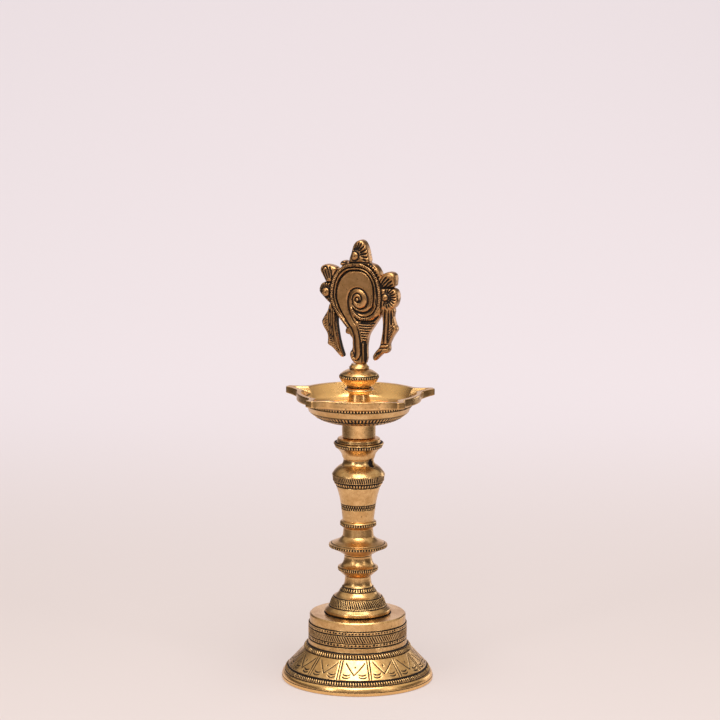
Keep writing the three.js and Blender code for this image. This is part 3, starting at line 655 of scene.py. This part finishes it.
RIM = [
    (-7.6, 245.2), (-11.2, 249.2), (-14.6, 253.4), (-17.6, 258.2), (-19.4, 262.8), (-19.9, 268),
    (-19.3, 274), (-17.6, 279.2), (-14.9, 283.6), (-11.3, 286.6), (-6.8, 288.3), (-0.2, 288.6),
    (5.4, 287.2), (9.7, 283.7), (12.6, 278.9), (14.3, 273.2), (14.8, 266.5), (14.3, 261),
    (12.3, 256.4), (9.4, 253.4), (5.2, 251.7), (0.8, 251.9), (-2.8, 254.2), (-5.4, 258.2),
]
INNER = [
    (-9.2, 250.4), (-12, 254.4), (-14.6, 259.2), (-16.3, 264), (-16.8, 267.3), (-16.3, 271.8),
    (-14.6, 277), (-11.7, 281.2), (-7.9, 284.1), (-3.2, 285), (1.9, 284.8), (5.8, 282.8),
    (8.6, 279), (10.1, 274.5), (10.6, 269), (10.4, 264.4), (9.6, 260),
]
CANAL_LEFT = [
    (-15.6, 260.6), (-12.4, 255), (-9.3, 250.4), (-6.4, 246.6), (-4.4, 242.6), (-3.2, 238.4),
    (-2.9, 234), (-2.6, 229.5), (-2.5, 226), (-3.2, 224.2),
]
SPIRAL = [
    (-1.6, 246.2), (-4.4, 250.6), (-6.7, 255.4), (-7.9, 260.4), (-8, 265.2), (-6.7, 269.6),
    (-3.6, 272.3), (0.2, 272.7), (3.6, 270.9), (5.8, 267.6), (6.3, 263.9), (4.9, 260.6),
    (2, 258.6), (-1.4, 258.7), (-4, 261), (-4.9, 264.4), (-4, 267.7), (-1.5, 269.3), (1, 268.4),
    (2, 266), (1.2, 263.7), (-0.8, 262.9), (-2.5, 264), (-2.5, 265.8), (-1.2, 266.6),
    (-0.2, 265.7),
]
CANAL_RIGHT = [
    (-1.6, 246.2), (-0.2, 242.2), (0.7, 238), (1.2, 233), (1.4, 228), (0.9, 225), (-0.4, 223),
    (-2.4, 222.3),
]


def curve(points, closed=False, steps=6):
    """A smooth line through the points."""
    p = np.array(points, float)
    ends = (p[-1:], p[:2]) if closed else (2 * p[:1] - p[1:2], 2 * p[-1:] - p[-2:-1])
    p = np.vstack([ends[0], p, ends[1]])
    t = np.linspace(0, 1, steps, endpoint=False)[:, None]
    parts = [0.5 * (2 * b + (c - a) * t + (2 * a - 5 * b + 4 * c - d) * t ** 2
                    + (3 * b - a - 3 * c + d) * t ** 3)
             for a, b, c, d in zip(p, p[1:], p[2:], p[3:])]
    line = np.vstack(parts)
    return np.vstack([line, line[:1] if closed else p[-2:-1]])


def beside(line, amount):
    """The line moved to its left by an amount."""
    along = unit(np.gradient(line, axis=0))
    return line + np.stack([-along[:, 1], along[:, 0]], 1) * amount


def away(places, line):
    """How far each place is from the line, and how far along the line it is."""
    x, y = places
    best, along, start = np.full(x.shape, 1e9), np.zeros(x.shape), 0.0
    for (au, av), (bu, bv) in zip(line[:-1], line[1:]):
        du, dv = bu - au, bv - av
        length = math.hypot(du, dv) + 1e-9
        t = np.clip(((x - au) * du + (y - av) * dv) / length ** 2, 0, 1)
        gap = (x - au - t * du) ** 2 + (y - av - t * dv) ** 2
        along = np.where(gap < best, start + t * length, along)
        best = np.minimum(gap, best)
        start += length
    return np.sqrt(best), along


class Drawing:
    """Heights over a flat grid, made up of plates and of strokes that raise or cut them."""

    def __init__(self, step):
        self.u, self.v = np.arange(-30.5, 31.0, step), np.arange(218.6, 307.4, step)
        self.at = np.meshgrid(self.u, self.v, indexing="ij")
        self.edge = np.full(self.at[0].shape, 99.0)
        self.height = np.full(self.at[0].shape, -9.0)
        self.soil = np.zeros(self.at[0].shape)

    def signed(self, line):
        """How far each place is from a closed line, below zero inside it."""
        x, y = self.at
        inside = np.zeros(x.shape, bool)
        for (au, av), (bu, bv) in zip(line[:-1], line[1:]):
            crosses = ((av > y) != (bv > y)) & (x < (bu - au) * (y - av) / (bv - av + 1e-12) + au)
            inside ^= crosses
        return away(self.at, line)[0] * np.where(inside, -1, 1)

    def plate(self, points, height, fall, reach):
        """Raise an outline, its height falling off towards its edge."""
        edge = self.signed(curve(points, True))
        self.edge = np.minimum(self.edge, edge)
        top = height - fall * np.clip(1 + edge / reach, 0, 1) ** 2
        self.height = np.maximum(self.height, top - 4.0 * np.maximum(edge, 0))
        return edge

    def stroke(self, line, width, amount, where=1.0, soil=None, taper=True):
        """Raise (or cut, below zero) a line, thinner towards both ends. A list of points
        becomes a smooth line, and cuts are soiled unless another share is given."""
        if isinstance(line, list):
            line = curve(line)
        near = np.ones(self.at[0].shape, bool)
        for axis, marks in zip(self.at, line.T):
            near &= np.abs(axis - marks.mean()) < np.ptp(marks) / 2 + 4 * width + 1
        gap, along = away([axis[near] for axis in self.at], line)
        length = along.max() + 1e-9
        share = smooth(along / length, 0, 0.15) * smooth(1 - along / length, 0, 0.15)
        wide = width * (0.45 + 0.55 * share) if taper else width
        mark = bump(gap, wide) * (where[near] if isinstance(where, np.ndarray) else where)
        self.height[near] += amount * mark
        if soil is None:
            soil = 1.0 if amount < 0 else 0.0
        self.soil[near] = np.maximum(self.soil[near] - (amount > 0) * mark, soil * mark)

    def fan(self, count, first, move, *style):
        """Straight strokes: both ends of the first, and how they move on for each next."""
        for i in range(count):
            self.stroke((np.array(first) + np.array(move) * i).reshape(2, 2), *style)

    def rays(self, centre, width, depth, where, *rays):
        """Cuts that run out from a centre: angle, inner and outer distance of each."""
        for turn, inner, outer in rays:
            way = np.array([math.cos(math.radians(turn)), math.sin(math.radians(turn))])
            line = np.array(centre) + np.linspace(inner, outer, 3)[:, None] * way
            self.stroke(line, width, -depth, where)

    def boss(self, centre, radius, height):
        """A round boss with a dark ring round it and a dimple in the middle."""
        gap = np.hypot(self.at[0] - centre[0], self.at[1] - centre[1])
        level = self.height[gap < radius].max() - 0.5
        self.height = np.where(gap < radius, np.maximum(self.height, level), self.height)
        dome = np.sqrt(np.clip(1 - (gap / radius) ** 2, 0, 1))
        self.height += height * dome - 0.7 * bump(gap - radius - 0.3, 0.4)
        self.soil = np.maximum(self.soil * (gap > radius), bump(gap - radius - 0.25, 0.45))
        self.height -= 0.5 * bump(gap, 0.55)
        self.soil = np.maximum(self.soil, 0.8 * bump(gap, 0.45))


def conch():
    """The drawing of the conch between its petals and ribbons."""
    d = Drawing(step=0.356)
    draw_ribbons(d)
    draw_petals(d)
    draw_shell(d)
    return d


def draw_ribbons(d):
    inside = smooth(-d.plate(RIBBON_LEFT, 3.7, 0.9, 1.2), 0.2, 0.9)
    ridge = curve([(-18.4, 257), (-18.7, 249), (-17.9, 242), (-16.1, 235), (-13.5, 227)])
    d.stroke(ridge, 0.55, 0.7, inside)
    d.stroke(beside(ridge, 1.3), 0.6, -0.9, inside)
    for start, end in ((-19.8, -19.3), (-20.9, -20.6), (-22.0, -21.8)):
        d.stroke([(start, 259), (end - 0.6, 250), (end, 242), (end + 0.9, 234.5)],
                 0.38, -0.8, inside, 0.9)
    d.fan(8, (-27.4, 250.4, -23.4, 253.2), (0.6, -1.4, 0.1, -1.6), 0.32, -0.5, inside, 0.95)
    d.fan(8, (-22.8, 235.4, -20.2, 236.6), (0.9, -1.0, 0.9, -1.0), 0.3, -0.45, inside, 0.9)
    inside = smooth(-d.plate(RIBBON_RIGHT, 3.7, 0.9, 1.2), 0.2, 0.9)
    for u, width, amount in ((17.6, 0.45, 0.4), (18.6, 0.45, -0.9), (20.1, 0.6, 0.5),
                             (21.5, 0.45, -1.0)):
        d.stroke([(u, 259), (u - 0.2, 250), (u - 0.6, 242), (u - 1.0, 235.4)],
                 width, amount, inside)
    d.stroke([(23.2, 258.5), (23.3, 253.5), (23.4, 248.5)], 0.8, -1.0, inside)
    d.fan(6, (21.6, 245.4, 25.8, 249), (-0.1, -1.9, -0.6, -2.1), 0.34, -0.6, inside)
    for v in (234.9, 232.4):
        d.stroke([(13.4, v - 0.6), (17.5, v - 0.2), (22, v + 0.2)], 0.42, -1.0, inside)
    d.fan(4, (11.2, 225.2, 13.4, 229), (1.3, 0.9, 1.1, 0.7), 0.34, -0.5, inside, 0.95)


def draw_petals(d):
    """Petals with rays from a boss, and the leaf, the step and the nub beside the shell."""
    inside = smooth(-d.plate(PETAL_UP_RIGHT, 4.7, 1.3, 3.0), 0.3, 1.0)
    for line in ([(15.8, 276), (17.6, 279), (19.7, 281.4)],
                 [(16.4, 274.8), (19, 278), (21.6, 280.4)],
                 [(18.3, 274.4), (21, 277), (23.5, 279.2)],
                 [(20.8, 274.5), (22.6, 275.8), (24.2, 276.8)]):
        d.stroke(line, 0.58, -1.3, inside, taper=False)
    inside = smooth(-d.plate(PETAL_LOW_RIGHT, 4.7, 1.3, 3.0), 0.3, 1.0)
    centre = (19.2, 267.6)
    d.stroke([(16, 273.6), (20.8, 274.2), (26, 274)], 0.7, -1.6)
    d.rays(centre, 0.52, 1.3, inside, *[(71 - 17 * i, 3.0, 7.6) for i in range(10)],
           (88, 3.0, 6.0), (-100, 3.0, 6.2))
    d.boss(centre, 2.3, 1.0)
    inside = smooth(-d.plate(PETAL_UP_LEFT, 4.6, 1.2, 3.0), 0.3, 1.0)
    for line in ([(-27.2, 283.8), (-26.1, 285.9), (-24.5, 286.6), (-23.2, 285.4),
                  (-22.3, 282.6), (-21.6, 279)],
                 [(-21.6, 286.3), (-20.7, 283.9), (-20, 280.9), (-20, 278)],
                 [(-26.4, 283), (-25.5, 280.3), (-24.2, 277.4)],
                 [(-25, 284.3), (-24.1, 281.9), (-22.8, 278.6)]):
        d.stroke(line, 0.45, -1.1, inside, taper=False)
    inside = smooth(-d.plate(PETAL_LOW_LEFT, 4.6, 1.2, 3.0), 0.1, 0.6)
    centre = (-24.2, 268.9)
    d.stroke([(-19, 275.9), (-22, 275.6), (-25.8, 275.8)], 0.6, -1.4)
    d.rays(centre, 0.46, 1.2, inside, *[(62 + 17.5 * i, 3.5, 7.0) for i in range(15)])
    d.boss(centre, 3.0, 0.9)
    inside = smooth(-d.plate(PETAL_TOP, 4.7, 1.2, 3.0), 0.3, 1.0)
    centre = (-3.2, 295.1)
    d.rays(centre, 0.52, 1.3, inside, (98, 3.7, 8.1), (84, 3.6, 8.4), (72, 3.8, 9.8),
           (61, 4.2, 10.4), (47, 4.0, 10.2))
    d.rays(centre, 0.66, 1.5, inside, (30, 3.9, 9.6), (13, 3.6, 9.0), (-4, 5.0, 9.3),
           (-20, 6.2, 8.6))
    d.boss(centre, 2.9, 1.0)
    inside = smooth(-d.plate(LEAF_RIGHT, 4.4, 0.8, 2.0), 0.2, 0.9)
    d.fan(6, (6.6, 287.9, 8.2, 290), (1.3, -1.7, 1.3, -1.6), 0.48, -1.1, inside)
    d.plate(STEP_LEFT, 4.3, 0.6, 1.5)
    d.plate(NUB, 3.8, 0.6, 1.5)


def draw_shell(d):
    """The conch: rim, field, whorl, canal, ribs and flutes."""
    x, y = d.at
    shell = d.plate(SHELL, 4.0, 0.7, 0.9)
    d.stroke([(-17, 290.5), (-10, 290.2), (0, 291), (7, 290.4), (12, 287)], 0.5, -0.9,
             smooth(shell, -0.2, 0.4))
    # Toothed rim between two lines
    rim, tooth_pitch = curve(RIM), 1.25
    gap, along = away(d.at, rim)
    ticks = 0.5 + 0.5 * np.cos(TAU * along / tooth_pitch)
    band = smooth(-gap, -1.15, -0.75)
    d.height += band * (0.75 - 0.6 * ticks * bump(gap, 0.8))
    d.soil = np.maximum(d.soil * (1 - band), 0.95 * band * ticks ** 2)
    d.stroke(beside(rim, -1.45), 0.4, -0.8, taper=False)
    d.stroke(beside(rim, -2.2), 0.5, 0.75, taper=False)
    d.stroke(beside(rim, 1.5), 0.5, -1.0, smooth(shell, -0.4, 0.1), taper=False)
    # Lines round the field
    inner = curve(INNER)
    d.stroke(beside(inner, 1.15)[30:], 0.5, 0.6)
    d.stroke(beside(inner, 2.0)[44:], 0.32, -0.6)
    d.stroke(beside(inner, -0.8), 0.35, 0.35)
    d.stroke(inner, 0.62, -1.3)
    # Whorl
    whorl = np.hypot(x - 0.4, (y - 265.3) * 0.95)
    d.height += 1.1 * np.sqrt(np.clip(1 - (whorl / 6.4) ** 2, 0, 1))
    d.stroke(SPIRAL, 0.5, -1.15)
    d.boss((-1, 265), 1.3, 0.5)
    # Canal, and the folds from the whorl to the right edge
    d.stroke(CANAL_LEFT, 0.5, -1.0)
    d.stroke(beside(curve(CANAL_LEFT), -1.0)[:-16], 0.42, 0.6)
    d.stroke(CANAL_RIGHT, 0.55, -1.1)
    d.stroke([(-5.8, 228), (-4.6, 229), (-3.6, 227.6), (-3.4, 225.4), (-4.4, 224.4)], 0.4, -0.6)
    for line in ([(-4.5, 258.8), (-1.5, 256.6), (2.5, 255.6), (6.4, 256.8), (9.6, 260)],
                 [(-3.4, 252.6), (0, 250), (5.2, 249.4), (10.6, 251), (14.4, 254.6)]):
        d.stroke(line, 0.8, -1.3)
    # Bowed ribs across the narrow end
    rib_foot, rib_pitch = 236.1, 1.74
    ribbed = smooth(y, 235.2, 235.8) * smooth(-y, -251, -250.4) * smooth(-shell, 0.1, 0.7)
    ribbed *= smooth(x + 1.0 - 0.22 * (250.2 - y), 0, 0.6)
    bow = y - 0.016 * (x - 4.2) ** 2
    rib = np.abs(np.sin(np.pi * (bow - rib_foot) / rib_pitch))
    d.height += ribbed * (0.9 * rib - 1.1)
    d.soil = np.maximum(d.soil * (1 - ribbed), ribbed * (1 - smooth(rib, 0.60, 0.98)))
    # Flutes below the ribs
    for u, width, amount in ((2.1, 0.45, -0.7), (3.2, 0.6, 0.5), (4.6, 0.95, -1.3)):
        d.stroke([(u, 235.2), (u + 0.1, 230), (u + 0.3, 224), (u, 221)], width, amount)
    d.stroke([(1.8, 235.2), (3.4, 234.8), (5, 235.2)], 0.5, -0.8)


def blurred(grid, width):
    reach = int(3 * width)
    kernel = bump(np.arange(-reach, reach + 1), width)
    kernel /= kernel.sum()
    padded = np.pad(grid, reach, mode="edge")
    for axis in (0, 1):
        padded = np.apply_along_axis(np.convolve, axis, padded, kernel, "same")
    return padded[reach:-reach, reach:-reach]


def surface(field, start, step):
    """Points and outward faces where the field passes through zero; it is negative inside."""
    inside = field < 0
    cells = np.array(field.shape) - 1
    total = sum(inside[i:i + cells[0], j:j + cells[1], k:k + cells[2]].astype(int)
                for i in (0, 1) for j in (0, 1) for k in (0, 1))
    mixed = (total > 0) & (total < 8)
    index = np.full(mixed.shape, -1)
    index[mixed] = np.arange(mixed.sum())
    corner = np.argwhere(mixed)
    sums, hits = np.zeros(corner.shape), np.zeros(len(corner))
    faces = []
    for axis in range(3):
        ahead, b, c = np.roll(np.eye(3, dtype=int), -axis, 0)
        # Each cell's point is the middle of where its edges cross the surface
        for side in (0 * b, c, b, b + c):
            p = corner + side
            fp, fq = field[tuple(p.T)], field[tuple((p + ahead).T)]
            hit = (fp < 0) != (fq < 0)
            sums[hit] += p[hit] + (fp[hit] / (fp[hit] - fq[hit]))[:, None] * ahead
            hits[hit] += 1
        # Each crossed edge gives a face between the four cells round it
        edges = np.argwhere(np.diff(inside, axis=axis))
        edges = edges[((edges >= b + c) & (edges < cells + ahead)).all(axis=1)]
        quad = np.stack([index[tuple((edges - o).T)] for o in (b + c, c, 0 * b, b)], 1)
        outward = inside[tuple(edges.T)]
        faces.append(np.where(outward[:, None], quad, quad[:, ::-1]))
    return start + sums / hits[:, None] * step, np.vstack(faces)


def conch_emblem():
    (peg_foot, top), peg_length, peg_radius = span("conch_emblem"), 5.0, 2.5
    foot = peg_foot + peg_length
    d = conch()
    edge, height = blurred(d.edge, 1.0), blurred(d.height, 0.7)
    grid = d.u, d.v, np.arange(-6.4, 6.5, 0.5)
    start, step = (np.array([axis[i] for axis in grid]) for i in (0, 1))
    step -= start
    across = np.abs(grid[2])[None, None, :]
    field = larger(edge[:, :, None] + 0.05 * across, across - height[:, :, None], 0.9)
    points, faces = surface(field, start, step)
    # Tarnish in the hollows of both faces and on the side walls, and a painted shadow on the left
    # ribbon's side wall
    hollow = np.clip(blurred(height, 4.0) - height, 0, 1)
    soil = np.clip(np.maximum(d.soil, 1.9 * hollow), 0, 1)
    cell = ((points - start) / step)[:, :2].round().astype(int)
    cell = tuple(np.clip(cell, 0, np.array(soil.shape) - 1).T)
    on_face = smooth(np.abs(points[:, 2]) - height[cell], -1.3, -0.5)
    # Painted shadow on the side wall of the left ribbon
    shade = (np.abs(points[:, 0] + 14) < 4) * (points[:, 1] < 258)
    patina = soil[cell] * on_face + (0.12 + 0.7 * shade) * (1 - on_face)
    u, side = points[:, 0] + 1.0, points[:, 2]
    rise = foot + (points[:, 1] - DRAWN_FOOT) * (top - foot) / DRAWN_HEIGHT
    c, s = math.cos(EMBLEM_TURN), math.sin(EMBLEM_TURN)
    mesh = Mesh()
    mesh.add(np.stack([u * c - side * s, -u * s - side * c, rise], 1), patina)
    mesh.faces.append(faces)
    peg = plain(24)
    return mesh.turn(
        Turned(0, peg_foot).to(peg_radius, 0, peg).level(foot + 0.5, peg).to(0, 0, peg))


# Threaded studs, washer and nut
def stud(node, radius, pitch, bevel=0.9):
    (foot, top), end = span(node), plain(40)
    length = top - foot - 2 * bevel
    rod = Turned(0, foot).walk(
        (radius - bevel, 0, end), (radius, bevel, end),
        (radius, length, thread(length, pitch, 0.6 * pitch, cells=40)),
        (radius - bevel, bevel, end), (0, 0, end))
    return Mesh().turn(rod)


def base_washer():
    (foot, top), fine = span("base_washer"), plain(96)
    ring = Turned(HOLE, foot).to(9.0, 0, fine).level(top, fine).to(HOLE, 0, fine)
    return Mesh().turn(ring.level(foot, plain(48)), closed=True)


def base_nut(bevel=0.4):
    (foot, top), flat = span("base_nut"), span("base_nut", 1)[1]
    angle = even(96)
    corner = flat / np.cos(np.mod(angle, TAU / 6) - TAU / 12)
    shoulder = np.clip(corner - 0.97 * flat, 0, 9) * 0.5
    mesh = Mesh()
    return mesh.join([mesh.circle(angle, radius + 0 * angle, height) for radius, height in (
        (HOLE, foot + bevel), (HOLE + bevel, foot), (0.97 * flat, foot), (corner, foot + shoulder),
        (corner, top - shoulder), (0.97 * flat, top), (HOLE + bevel, top), (HOLE, top - bevel),
    )], closed=True)


# Materials
# Black for tarnish and for painted shade; clean brass, also used for painted highlights and sheen
TARNISH_AND_SHADE, CLEAN_AND_SHEEN_BRASS = (0.012, 0.0075, 0.006, 1), (0.98, 0.60, 0.235, 1)


def shader(name, color, roughness, metallic=1.0):
    material = bpy.data.materials.new(name)
    material.use_nodes = True
    principled = material.node_tree.nodes["Principled BSDF"]
    for key, value in (("Base Color", (*color, 1)), ("Roughness", roughness),
                       ("Metallic", metallic), ("Specular IOR Level", 0.15)):
        principled.inputs[key].default_value = value
    return material, Nodes(material.node_tree), principled.inputs


class Nodes:
    """Short ways to add and join nodes."""

    def __init__(self, tree):
        self.tree = tree

    def set(self, socket, value):
        if isinstance(value, bpy.types.NodeSocket):
            self.tree.links.new(value, socket)
        else:
            socket.default_value = value

    def add(self, kind, sockets, **settings):
        """A node with its settings, and its sockets set or joined to other nodes."""
        node = self.tree.nodes.new("ShaderNode" + kind)
        for key, value in settings.items():
            setattr(node, key, value)
        for key, value in sockets.items():
            self.set(node.inputs[key], value)
        return node.outputs

    def math(self, operation, a, b=0.0, c=0.0):
        return self.add("Math", {0: a, 1: b, 2: c}, operation=operation)[0]

    def ramp(self, value, start, end, to_start=0.0, to_end=1.0):
        return self.add("MapRange", {"Value": value, "From Min": start, "From Max": end,
                                     "To Min": to_start, "To Max": to_end},
                        interpolation_type="SMOOTHSTEP")["Result"]

    def noise(self, vector, scale, detail, rough):
        return self.add("TexNoise", {"Vector": vector, "Scale": scale, "Detail": detail,
                                     "Roughness": rough})[0]

    def mix(self, share, a, b):
        return self.add("Mix", {"Factor": share, 6: a, 7: b}, data_type="RGBA")[2]

    def split(self, vector):
        return self.add("SeparateXYZ", {0: vector})

    def place(self, kind="Object"):
        return self.add("TexCoord", {})[kind]


def brass(name, light, deep, roughness, lathe, specks):
    """Worn brass: tarnish in the cuts, painted shade and highlights where the mesh asks for them,
    blotches, fine pits and the lines of the lathe.
    """
    material, nodes, inputs = shader(name, light, roughness)
    place = nodes.place()
    blotch = nodes.noise(place, 55.0, 3.0, 0.6)
    grain = nodes.noise(place, 1100.0, 2.0, 0.6)
    # The patina attribute holds tarnish together with painted shade, and below zero clean brass
    # with painted highlights
    patina = nodes.add("Attribute", {}, attribute_name="patina")["Fac"]
    soiled_and_shaded = nodes.math("ADD", patina, nodes.math("MULTIPLY_ADD", grain, 0.5, -0.25))
    dark = nodes.ramp(soiled_and_shaded, 0.16, 0.50)
    speck = nodes.math("ADD", nodes.noise(place, 620.0, 1.0, 0.5),
                       nodes.math("MULTIPLY", patina, 0.25))
    dark = nodes.math("MAXIMUM", dark, nodes.ramp(speck, 0.70 - specks, 0.77 - specks, 0, 0.65))
    clean = nodes.ramp(patina, -0.5, 0.0, 1.0, 0.0)
    mottle = nodes.math("ADD", blotch, nodes.noise(place, 330.0, 3.0, 0.7))
    tone = nodes.mix(nodes.ramp(mottle, 0.75, 1.25), (*light, 1), (*deep, 1))
    tone = nodes.mix(clean, tone, CLEAN_AND_SHEEN_BRASS)
    nodes.set(inputs["Base Color"], nodes.mix(dark, tone, TARNISH_AND_SHADE))
    nodes.set(inputs["Metallic"], nodes.ramp(dark, 0, 1, 1.0, 0.1))
    rough = nodes.ramp(blotch, 0.3, 0.75, roughness, roughness + 0.10)
    nodes.set(inputs["Roughness"],
              nodes.math("ADD", rough, nodes.math("MULTIPLY", dark, 0.35)))
    height = nodes.math("MULTIPLY", grain, 0.25)
    if lathe:
        # Noise over the distance from the axis and the height makes rings round it
        flat = nodes.add("VectorMath", {0: place, 1: (1, 1, 0)}, operation="MULTIPLY")[0]
        radius = nodes.add("VectorMath", {0: flat}, operation="LENGTH")[1]
        rings = nodes.add("CombineXYZ", {0: radius, 2: nodes.split(place)[2]})[0]
        lines = nodes.noise(rings, 1500.0, 3.0, 0.7)
        height = nodes.math("ADD", height, nodes.math("MULTIPLY", lines, lathe))
    nodes.set(inputs["Normal"], nodes.add(
        "Bump", {"Height": height, "Strength": 0.5, "Distance": 0.06 * MM})["Normal"])
    return material


def dress(mesh, node, body, material):
    piece = mesh.build(node + "_look", material)
    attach(piece, body)
    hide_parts(node)
    return piece


def build_all():
    polished = brass("polished_brass", (0.79, 0.505, 0.222), (0.58, 0.335, 0.127),
                     roughness=0.235, lathe=1.2, specks=0.0)
    antique = brass("antique_brass", (0.54, 0.295, 0.125), (0.38, 0.20, 0.075),
                    roughness=0.26, lathe=0.0, specks=0.02)
    steel, _, _ = shader("steel", (0.42, 0.41, 0.39), 0.35)
    dress(base_shell(), "base_shell", "foot_and_stem", polished)
    dress(stem(), "stem", "foot_and_stem", polished)
    dress(stud("stem_foot_stud", 4.0, 1.25), "stem_foot_stud", "foot_and_stem", steel)
    dress(base_washer(), "base_washer", "washer", steel)
    nut = dress(base_nut(), "base_nut", "nut", steel)
    nut.data.set_sharp_from_angle(angle=math.radians(35))
    dress(stud("dish_stud", 4.0, 1.25), "dish_stud", "dish_screw", steel)
    dress(oil_dish(), "oil_dish", "dish", polished)
    dress(stud("finial_stud", 3.0, 1.0), "finial_stud", "finial_screw", steel)
    dress(finial_knob(), "finial_knob", "finial", polished)
    dress(conch_emblem(), "conch_emblem", "finial", antique)


# Stage, lights and camera
def stage():
    """A pale sweep: a floor that curves up into a wall. It glows with painted light, brighter in
    front of the picture and darker at the sides, for what the brass reflects."""
    flat_end, bend, top, half_width, drop = 0.9, 0.7, 2.4, 1.7, 0.2 * MM
    turn = np.linspace(0, math.pi / 2, 24)[1:]
    path = [(y, 0.0) for y in (-2.6, -1.2, 0.0, 0.45, flat_end)]
    path += [(flat_end + bend * math.sin(a), bend - bend * math.cos(a)) for a in turn]
    path += [(flat_end + bend, 2 * bend), (flat_end + bend, top)]
    points = [(x, y, z - drop) for y, z in path for x in (-half_width, half_width)]
    faces = [(2 * i, 2 * i + 1, 2 * i + 3, 2 * i + 2) for i in range(len(path) - 1)]
    mesh = bpy.data.meshes.new("sweep")
    mesh.from_pydata(points, [], faces)
    mesh.shade_smooth()
    material, nodes, inputs = shader("sweep", (0.40, 0.355, 0.36), 0.9, 0.0)
    x, y, _ = nodes.split(nodes.place())
    glow = nodes.mix(nodes.ramp(y, 0.0, 1.1), (0.83, 0.71, 0.675, 1), (0.81, 0.735, 0.78, 1))
    sides = nodes.ramp(nodes.math("ABSOLUTE", x), 0.45, 0.75, 1.0, 0.12)
    near = nodes.math("MULTIPLY", nodes.ramp(y, -0.42, -0.12, 1.75, 1.0),
                      nodes.ramp(y, -1.0, -0.6, 1.35, 1.0))
    pale = nodes.math("MULTIPLY", near, sides)
    # The sweep's glow is painted light, strongest in front and weak at the sides
    strength = nodes.math("MULTIPLY", nodes.ramp(y, 0.1, 1.15, 0.47, 0.72), pale)
    nodes.set(inputs["Emission Color"], glow)
    nodes.set(inputs["Emission Strength"], strength)
    nodes.set(inputs["Base Color"], nodes.mix(pale, (0.0, 0.0, 0.0, 1), (0.30, 0.27, 0.27, 1)))
    mesh.materials.append(material)
    sweep = add_object("sweep", mesh)


def softbox(name, place, aim, size, power, color):
    """A rectangular lamp that faces its aim."""
    light = bpy.data.lights.new(name, "AREA")
    light.shape = "RECTANGLE"
    light.size, light.size_y = size
    light.energy, light.color = power, color
    lamp = add_object(name, light)
    lamp.location = place
    way = np.subtract(aim, place)
    way /= np.linalg.norm(way)
    lamp.rotation_euler = (math.acos(-way[2]), 0, math.atan2(way[0], -way[1]) + math.pi)


def light_room():
    """A dim warm room under a pale ceiling, and five softboxes."""
    world = bpy.data.worlds.new("room")
    world.use_nodes = True
    nodes = Nodes(world.node_tree)
    up = nodes.split(nodes.place("Generated"))[2]
    sky = nodes.mix(nodes.ramp(up, 0.20, 0.60), (0.10, 0.075, 0.06, 1), (1, 0.91, 0.79, 1))
    background = world.node_tree.nodes["Background"].inputs
    nodes.set(background[0], sky)
    background[1].default_value = 0.7
    bpy.context.scene.world = world
    softbox("top", (0.05, -0.45, 1.4), (0, -0.1, 0.1), (1.0, 1.2), 20, (1, 0.985, 0.96))
    softbox("key", (-0.1, -1.45, 1.15), (0, 0, 0.2), (0.5, 0.4), 5, (1, 0.98, 0.95))
    softbox("left", (-1.0, -1.1, 0.7), (0, 0, 0.15), (0.25, 0.8), 3.5, (1, 0.98, 0.96))
    softbox("right", (1.1, -0.9, 0.7), (0, 0, 0.15), (0.25, 0.8), 2, (1, 0.98, 0.96))
    softbox("edge", (1.0, 0.95, 0.2), (0, 0, 0.22), (0.5, 0.7), 2.2, (1, 0.96, 0.93))


def place_camera():
    """The photograph's view, rolled by half of the lean that its stem has."""
    down, roll, focal, sensor = 9.442, 0.35, 148.89, 36
    camera = add_object("camera", bpy.data.cameras.new("camera"))
    camera.data.lens, camera.data.sensor_width = focal, sensor
    camera.location = (-0.0015, -2.0, 0.5548)
    camera.rotation_euler = (math.radians(90 - down), math.radians(-roll), 0)
    bpy.context.scene.camera = camera
    bpy.context.scene.view_settings.view_transform = "Standard"


build_all()
stage()
light_room()
place_camera()
